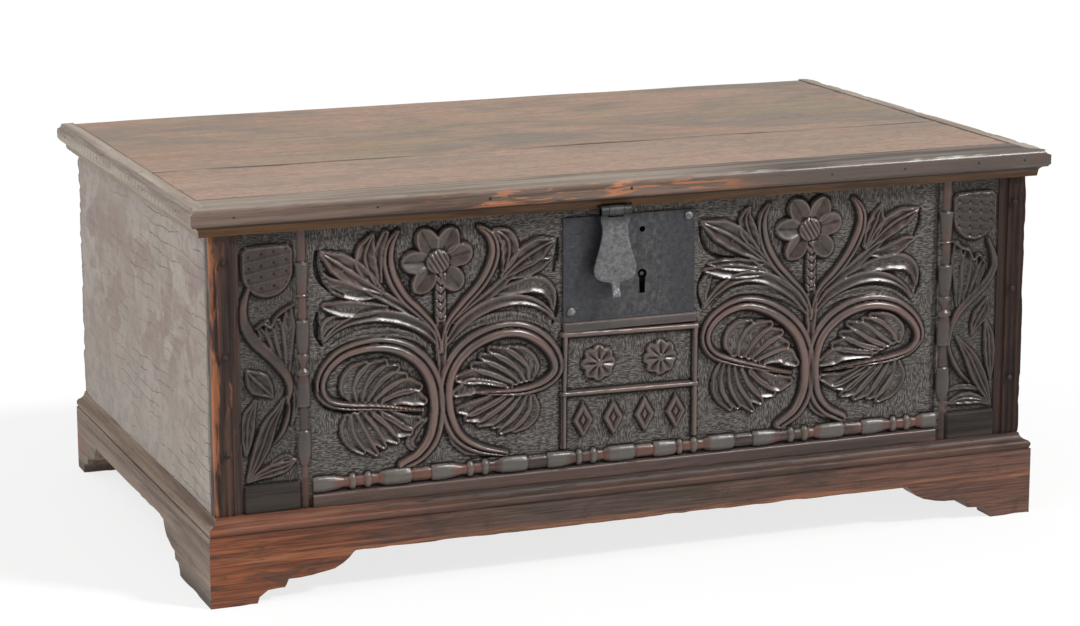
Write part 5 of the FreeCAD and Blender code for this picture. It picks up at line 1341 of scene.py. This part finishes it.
def carved_finish():
    """Near-black waxed carving: tooled matt ground, glossy tops, red-brown rubbed rolls, painted shade in
    recesses and creases; brown inside.
    """
    f = Finish("carved_oak")
    streaks, fibres, _ = grain(f, 0, 7.0)
    across = f.part("X")
    up = f.part("Z")
    side = abs(across)
    crest = f.mark("crest")
    rub = f.mark("rub")
    raised = f.mark("height").between(0.24, 0.42)
    # Painted shade: recesses well below their broad surroundings are darkened towards black
    painted_recess_shade = 1.0 - f.mark("ridge").between(-0.7, -0.05)
    # Painted shade: narrow creases below their near surroundings are darkened towards black; the wax coat is
    # thinner there
    shaded_crease = 1.0 - crest.between(-0.8, -0.05)
    patch = f.noise(16.0, 4.0, 0.6, 0.4)
    level = f.noise((260.0, 400.0, 1150.0), 3.0, 0.6, 0.3)
    upright = f.noise((1150.0, 400.0, 260.0), 3.0, 0.6, 0.3)
    turn = f.noise(22.0, 2.0, 0.5, 0.0, (4.0, 4.0, 4.0)).between(0.45, 0.55)
    tooling = level * turn + upright * (1.0 - turn)
    stains = f.noise((150.0, 150.0, 210.0), 5.0, 0.7, 0.7, (6.0, 3.0, 2.0)).between(0.48, 0.64)
    scuffs = f.noise((330.0, 330.0, 420.0), 4.0, 0.68, 0.5, (1.0, 8.0, 5.0)).between(0.58, 0.7)
    wood = f.layers(
        f.mix(patch.between(0.4, 0.65), (0.036, 0.023, 0.018), (0.08, 0.048, 0.037)),
        (fibres.between(0.45, 0.75) * 0.3, (0.085, 0.056, 0.045)),
        (stains * 0.65, (0.02, 0.0145, 0.012)),
        (scuffs * 0.5, (0.135, 0.108, 0.094)),
    )
    ledge = up.band(0.1795, 0.182, 0.187, 0.1885) * across.band(-0.06, -0.0585, 0.0505, 0.052) * raised
    ledge_wood = f.mix(streaks.between(0.4, 0.6), (0.062, 0.057, 0.054), (0.105, 0.1, 0.096))
    band = 1.0 - up.between(0.0752, 0.0762)
    band_wood = f.mix(streaks.between(0.38, 0.62), (0.034, 0.022, 0.018), (0.086, 0.045, 0.034))
    stile = side.between(0.2583, 0.2597)
    turned = stile * (1.0 - side.between(0.2695, 0.271)) * 0.55
    turned = turned + up.band(0.0762, 0.0775, 0.0883, 0.0893) * (1.0 - stile)
    foot = (1.0 - up.between(0.086, 0.0868)) * side.between(0.2685, 0.2695)
    foot_wood = f.mix(streaks.between(0.4, 0.6), (0.017, 0.014, 0.012), (0.042, 0.034, 0.03))
    inside = f.part("Y").between(-0.1905, -0.1875)
    colour = f.layers(
        f.mix(tooling.between(0.4, 0.64), (0.045, 0.038, 0.034), (0.18, 0.164, 0.15)),
        (raised, wood),
        (rub * patch.between(0.36, 0.58) * 0.8, (0.13, 0.05, 0.034)),
        (ledge * 0.8, ledge_wood),
        (band * 0.8, band_wood),
        (crest.between(0.15, 0.9) * raised * 0.36, (0.15, 0.093, 0.074)),
        # Painted shade in recesses and creases: the next two layers
        (painted_recess_shade * 0.85, (0.01, 0.008, 0.007)),
        (shaded_crease * 0.8, (0.008, 0.006, 0.005)),
        (turned * raised * (1.0 - rub) * 0.55, (0.125, 0.118, 0.104)),
        (stile * 0.34, (0.008, 0.007, 0.006)),
        (foot * 0.9, foot_wood),
        (inside, f.mix(streaks.between(0.38, 0.64), (0.24, 0.168, 0.113), (0.145, 0.096, 0.063))),
    )
    matt = (1.0 - up.between(0.0885, 0.0895)) * 0.6 + ledge + foot * 0.6 + stile * 0.4
    rough = 0.5 - raised * 0.2 + patch * 0.1 + matt * 0.12 + scuffs * 0.12
    bump = tooling * (1.0 - raised * 0.9) * 2.4 + fibres * 0.3 * raised + patch * 0.4
    wax = raised * (1.0 - matt * 0.8) * (1.0 - shaded_crease) * (1.0 - scuffs * 0.4)
    wax = wax * (crest.between(-0.15, 0.5) * 0.5 + 0.5)
    return f.finish(colour, rough, bump, 0.6, 0.0009, coat=wax, gloss=0.18)


def corner_finish():
    """Corner strips: black-brown reeds rubbed to orange on the outer edges, darker at the right."""
    f = Finish("corner_oak")
    streaks, fibres, pores = grain(f, 2, 9.0)
    right = f.part("X").between(0.0, 0.2)
    outer = abs(f.part("X")).between(0.326, 0.3338)
    front = 1.0 - f.part("Y").between(-0.2035, -0.2005)
    rubbed = f.noise((160.0, 160.0, 24.0), 5.0, 0.65, 0.5, (2.0, 2.0, 2.0))
    shine = (rubbed + outer * 0.2).between(0.58, 0.74) * front * (1.0 - right * 0.75)
    colour = f.layers(
        f.mix(streaks.between(0.4, 0.65), (0.03, 0.02, 0.017), (0.085, 0.045, 0.034)),
        (shine, (0.36, 0.14, 0.065)),
        (fibres.between(0.5, 0.75) * 0.4, (0.13, 0.09, 0.07)),
        (right * 0.68, (0.02, 0.012, 0.01)),
    )
    bump = streaks * 0.5 + fibres * 0.4 - pores * 0.6
    return f.finish(colour, 0.38 + streaks * 0.2, bump, 0.5, 0.0008, gloss=0.2)


def plinth_finish():
    """The base's front: orange-brown at the left and edges, blackish midway, red-brown at the right, with
    painted shade on its top moulding and in the quirk below it.
    """
    f = Finish("plinth_oak")
    streaks, fibres, pores = grain(f, 0, 11.0)
    across = f.part("X")
    height = f.part("Z")
    wander = f.noise((7.0, 7.0, 30.0), 4.0, 0.6, 0.4)
    fine = f.noise(along(0, 480.0, 16.0), 5.0, 0.68, 0.4, (2.0, 3.0, 4.0))
    figure = (streaks * 0.25 + fine * 0.75).between(0.38, 0.64)
    blotch = f.noise((26.0, 26.0, 60.0), 5.0, 0.65, 0.8, (5.0, 1.0, 3.0)).between(0.52, 0.64)
    left = 1.0 - (across + wander * 0.16).between(-0.2, 0.0)
    right = (across + wander * 0.2).between(0.12, 0.3)
    worn_low = height.band(0.029, 0.033, 0.034, 0.04) * wander.between(0.36, 0.5)
    bead = height.band(0.0535, 0.0565, 0.0595, 0.0625) * wander.between(0.42, 0.58)
    # Painted shade: the moulding above the quirk is darkened, most from the middle rightwards, and its cove
    # a little more
    top = height.between(0.0535, 0.0555) * (across.between(-0.3, -0.12) * 0.45 + 0.1)
    top = top + height.between(0.0605, 0.063) * 0.2
    colour = f.layers(
        f.mix(figure, (0.037, 0.026, 0.022), (0.092, 0.06, 0.048)),
        (right * 0.9, f.mix(figure, (0.068, 0.033, 0.024), (0.168, 0.078, 0.054))),
        (left * 0.95, f.mix(figure, (0.082, 0.028, 0.014), (0.275, 0.081, 0.03))),
        (blotch * 0.6, (0.045, 0.028, 0.022)),
        (worn_low * figure * 0.7, (0.3, 0.115, 0.052)),
        (bead * 0.5, (0.2, 0.088, 0.056)),
        # Painted shade: a dark line in the quirk between the face and the bead
        (height.band(0.0520, 0.0536, 0.0540, 0.0552) * 0.6, (0.03, 0.022, 0.018)),
        (top, (0.03, 0.019, 0.015)),
        (fibres.between(0.48, 0.75) * 0.32, (0.21, 0.11, 0.07)),
        (pores * 0.7, (0.025, 0.018, 0.015)),
    )
    rough = 0.36 + streaks * 0.2 + pores * 0.15
    return f.finish(colour, rough, streaks * 0.5 + fibres * 0.4 - pores * 0.8, 0.45, 0.0008, gloss=0.28)


def side_plinth_finish():
    """The base's ends: grey-brown weathered oak with dark open grain and a few orange rubs."""
    f = Finish("side_plinth_oak")
    streaks, fibres, pores = grain(f, 1, 13.0)
    wander = f.noise((9.0, 6.0, 20.0), 4.0, 0.6, 0.4)
    colour = f.layers(
        f.mix(streaks.between(0.34, 0.68), (0.28, 0.2, 0.148), (0.115, 0.075, 0.053)),
        (fibres.between(0.42, 0.72) * 0.45, (0.34, 0.275, 0.225)),
        (wander.between(0.6, 0.7) * 0.6, (0.32, 0.14, 0.075)),
        (pores * 0.7, (0.06, 0.045, 0.035)),
        ((1.0 - f.part("Z").between(0.002, 0.012)) * 0.7, (0.05, 0.038, 0.03)),
    )
    return f.finish(colour, 0.52 + streaks * 0.2, streaks * 0.6 + fibres * 0.4 - pores * 0.8, 0.5, 0.0008)


def board_finish():
    """Unpolished inner and back boards: plain brown oak with saw marks."""
    f = Finish("inner_oak")
    streaks, fibres, pores = grain(f, 0, 15.0)
    saw = (f.part("X") * 900.0 + f.noise(8.0, 2.0) * 6.0).sine()
    fine = f.noise(along(0, 260.0, 10.0), 5.0, 0.65, 0.5, (1.0, 6.0, 2.0))
    stain = f.noise((6.0, 6.0, 10.0), 5.0, 0.62, 0.6, (3.0, 3.0, 7.0)).between(0.46, 0.62)
    figure = (streaks * 0.4 + fine * 0.6).between(0.38, 0.64)
    colour = f.layers(
        f.mix(figure, (0.25, 0.175, 0.118), (0.145, 0.096, 0.063)),
        (stain * 0.4, (0.115, 0.082, 0.06)),
        (fibres.between(0.42, 0.72) * 0.4, (0.32, 0.23, 0.16)),
        (pores * 0.6, (0.05, 0.035, 0.025)),
    )
    bump = streaks * 0.4 + fibres * 0.4 - pores * 0.7 + saw * 0.08
    return f.finish(colour, 0.62 + streaks * 0.2, bump, 0.4, 0.0007)


def iron_finish(name, dark, light, rough_low, rust, shade=0.0, dusty=0.0):
    """Old iron: mottled, pitted and a little rusty, with a dull sheen.

    By the given shares it has painted shade just under the lid and is dusty about the lock's two holes.
    """
    f = Finish(name)
    mottle = f.noise(260.0, 7.0, 0.72, 0.4)
    pits = f.noise(620.0, 4.0, 0.6).between(0.58, 0.72)
    specks = f.noise(420.0, 3.0, 0.6, 0.0, (9.0, 4.0, 6.0)).between(0.68, 0.74)
    scratch = f.noise((90.0, 90.0, 1400.0), 3.0, 0.6, 0.4).between(0.62, 0.74)
    spots = f.noise(140.0, 4.0, 0.6, 0.3, (3.0, 1.0, 2.0)).between(0.6, 0.7)
    dust = f.noise((200.0, 200.0, 160.0), 5.0, 0.7, 0.4, (5.0, 2.0, 8.0)).between(0.42, 0.66)
    dust = (1.0 - abs(f.part("X") - 0.006).between(0.006, 0.034)) * dust
    colour = f.layers(
        f.mix(mottle.between(0.36, 0.64), dark, light),
        (spots * rust, (0.11, 0.062, 0.042)),
        (pits * 0.5, (0.028, 0.028, 0.03)),
        (scratch * 0.35, (0.3, 0.3, 0.31)),
        (specks * 0.7, (0.34, 0.33, 0.31)),
        (dust * dusty, (0.19, 0.175, 0.16)),
        # Painted shade just under the lid, by the share shade
        (f.part("Z").between(0.258, 0.272) * shade, (0.03, 0.029, 0.029)),
    )
    rough = rough_low + mottle * 0.22 + pits * 0.2 - scratch * 0.06
    return f.finish(colour, rough, mottle * 0.6 - pits * 0.5, 0.35, 0.0008, metal=0.55)


LID_OAK = lid_finish()
EDGE_OAK = edge_finish()
CLEAT_OAK = cleat_finish()
END_OAK = end_finish()
CARVED_OAK = carved_finish()
CORNER_OAK = corner_finish()
PLINTH_OAK = plinth_finish()
SIDE_PLINTH_OAK = side_plinth_finish()
INNER_OAK = board_finish()
LOCK_IRON = iron_finish("lock_iron", (0.04, 0.041, 0.047), (0.062, 0.063, 0.069), 0.34, 0.2, 0.0, 0.4)
# The hasp's iron carries painted shade just under the lid
HASP_IRON = iron_finish("hasp_iron", (0.1, 0.1, 0.104), (0.2, 0.2, 0.205), 0.36, 0.2, 0.92)
HINGE_IRON = iron_finish("hinge_iron", (0.035, 0.034, 0.034), (0.08, 0.076, 0.073), 0.42, 0.5)
NAIL_IRON = iron_finish("nail_iron", (0.1, 0.098, 0.096), (0.27, 0.265, 0.255), 0.3, 0.25)
RUSTY_IRON = iron_finish("rusty_iron", (0.018, 0.014, 0.012), (0.05, 0.037, 0.03), 0.5, 0.6)

# Finishes of the CAD nodes that show as they are
NODE_FINISHES = (
    (INNER_OAK, ("back_board", "bottom_board_front", "bottom_board_rear", "plinth_back", "corner_blocks")),
    (LOCK_IRON, ("lock_plate", "lock_case", "drill_pin", "lock_bolt", "bolt_guides", "bolt_spring")),
    (HASP_IRON, ("hasp_staple",)),
    (HINGE_IRON, ("hasp_strap", "hasp_pin", "left_hinge_lid_leaf", "right_hinge_lid_leaf",
                  "left_hinge_back_leaf", "right_hinge_back_leaf", "left_hinge_pin", "right_hinge_pin")),
    (NAIL_IRON, ("hasp_strap_nails", "hinge_lid_nails", "hinge_back_nails")),
)
for node_finish, node_names in NODE_FINISHES:
    for node_name in node_names:
        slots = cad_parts[node_name].data.materials
        slots.clear()
        slots.append(node_finish)


# Stage
FLOOR_REACH = 30.0
FLOOR_LIFT = 0.78


def floor_finish():
    """A white floor that takes the box's shadow; what the camera sees of it is lifted towards white."""
    f = Finish("pale_floor")
    material = f.finish((0.95, 0.95, 0.945, 1.0), 0.8)
    seen = f.node("ShaderNodeLightPath", {}, {}, "Is Camera Ray")
    glossy = f.node("ShaderNodeLightPath", {}, {}, "Is Glossy Ray")
    glow = f.node("ShaderNodeEmission", {}, {"Color": (1.0, 1.0, 1.0, 1.0), "Strength": 1.0})
    lit = Value(f, f.shader.outputs[0])
    mixed = f.node("ShaderNodeMixShader", {}, {0: (seen + glossy) * FLOOR_LIFT, 1: lit, 2: glow})
    f.tree.links.new(mixed.socket, f.tree.nodes["Material Output"].inputs["Surface"])
    return material


# Lamps: strength, breadth in degrees, tilt from overhead and turn to the right of the front
LAMPS = {"key": (2.5, 9.0, 48.0, 48.0), "left": (0.95, 60.0, 50.0, -75.0)}


def make_stage():
    """A wide floor, a dim dome that is brighter overhead, and two sun lamps."""
    corners = [(a * FLOOR_REACH, b * FLOOR_REACH, 0) for a, b in ((-1, -1), (1, -1), (1, 1), (-1, 1))]
    floor_mesh = bpy.data.meshes.new("floor")
    floor_mesh.from_pydata(corners, [], [(0, 1, 2, 3)])
    floor_mesh.materials.append(floor_finish())
    floor = bpy.data.objects.new("floor", floor_mesh)
    bpy.context.scene.collection.objects.link(floor)
    world = bpy.data.worlds.new("studio")
    world.use_nodes = True
    dome = Nodes(world.node_tree, "Background")
    way = dome.node("ShaderNodeTexCoord", {}, {}, "Generated")
    overhead = dome.node("ShaderNodeSeparateXYZ", {}, {0: way}, "Z")
    sky = dome.mix(overhead.between(-0.1, 1.0), (0.1, 0.1, 0.1), (0.56, 0.56, 0.56))
    world.node_tree.links.new(sky.socket, dome.shader.inputs["Color"])
    dome.shader.inputs["Strength"].default_value = 1.0
    bpy.context.scene.world = world
    for name, (strength, breadth, tilt, turn) in LAMPS.items():
        lamp = bpy.data.lights.new(name, "SUN")
        lamp.energy = strength
        lamp.angle = math.radians(breadth)
        made = bpy.data.objects.new(name, lamp)
        made.rotation_euler = (math.radians(tilt), 0.0, math.radians(turn))
        bpy.context.scene.collection.objects.link(made)


# Camera: place in metres, turn in degrees, lens and sensor in millimetres
CAMERA_PLACE = (-0.9011, -2.2980, 0.6997)
CAMERA_TURN = (77.4335, 0.1064, -21.446)
CAMERA_LENS = 102.52
CAMERA_SENSOR = 36.0


def make_camera():
    """The camera fitted to the corners of the lid, the body and the base."""
    view = bpy.data.cameras.new("photo_view")
    view.sensor_width = CAMERA_SENSOR
    view.lens = CAMERA_LENS
    view.clip_end = 200.0
    made = bpy.data.objects.new("photo_view", view)
    made.location = CAMERA_PLACE
    made.rotation_euler = [math.radians(part) for part in CAMERA_TURN]
    bpy.context.scene.collection.objects.link(made)
    bpy.context.scene.camera = made


make_panel()
make_stiles()
make_rail()
make_plinth()
make_corner_strips()
make_lid_edges()
make_lid_boards()
make_ends()
make_nails()
make_hasp()
make_stage()
make_camera()
bpy.context.scene.view_settings.view_transform = "Standard"
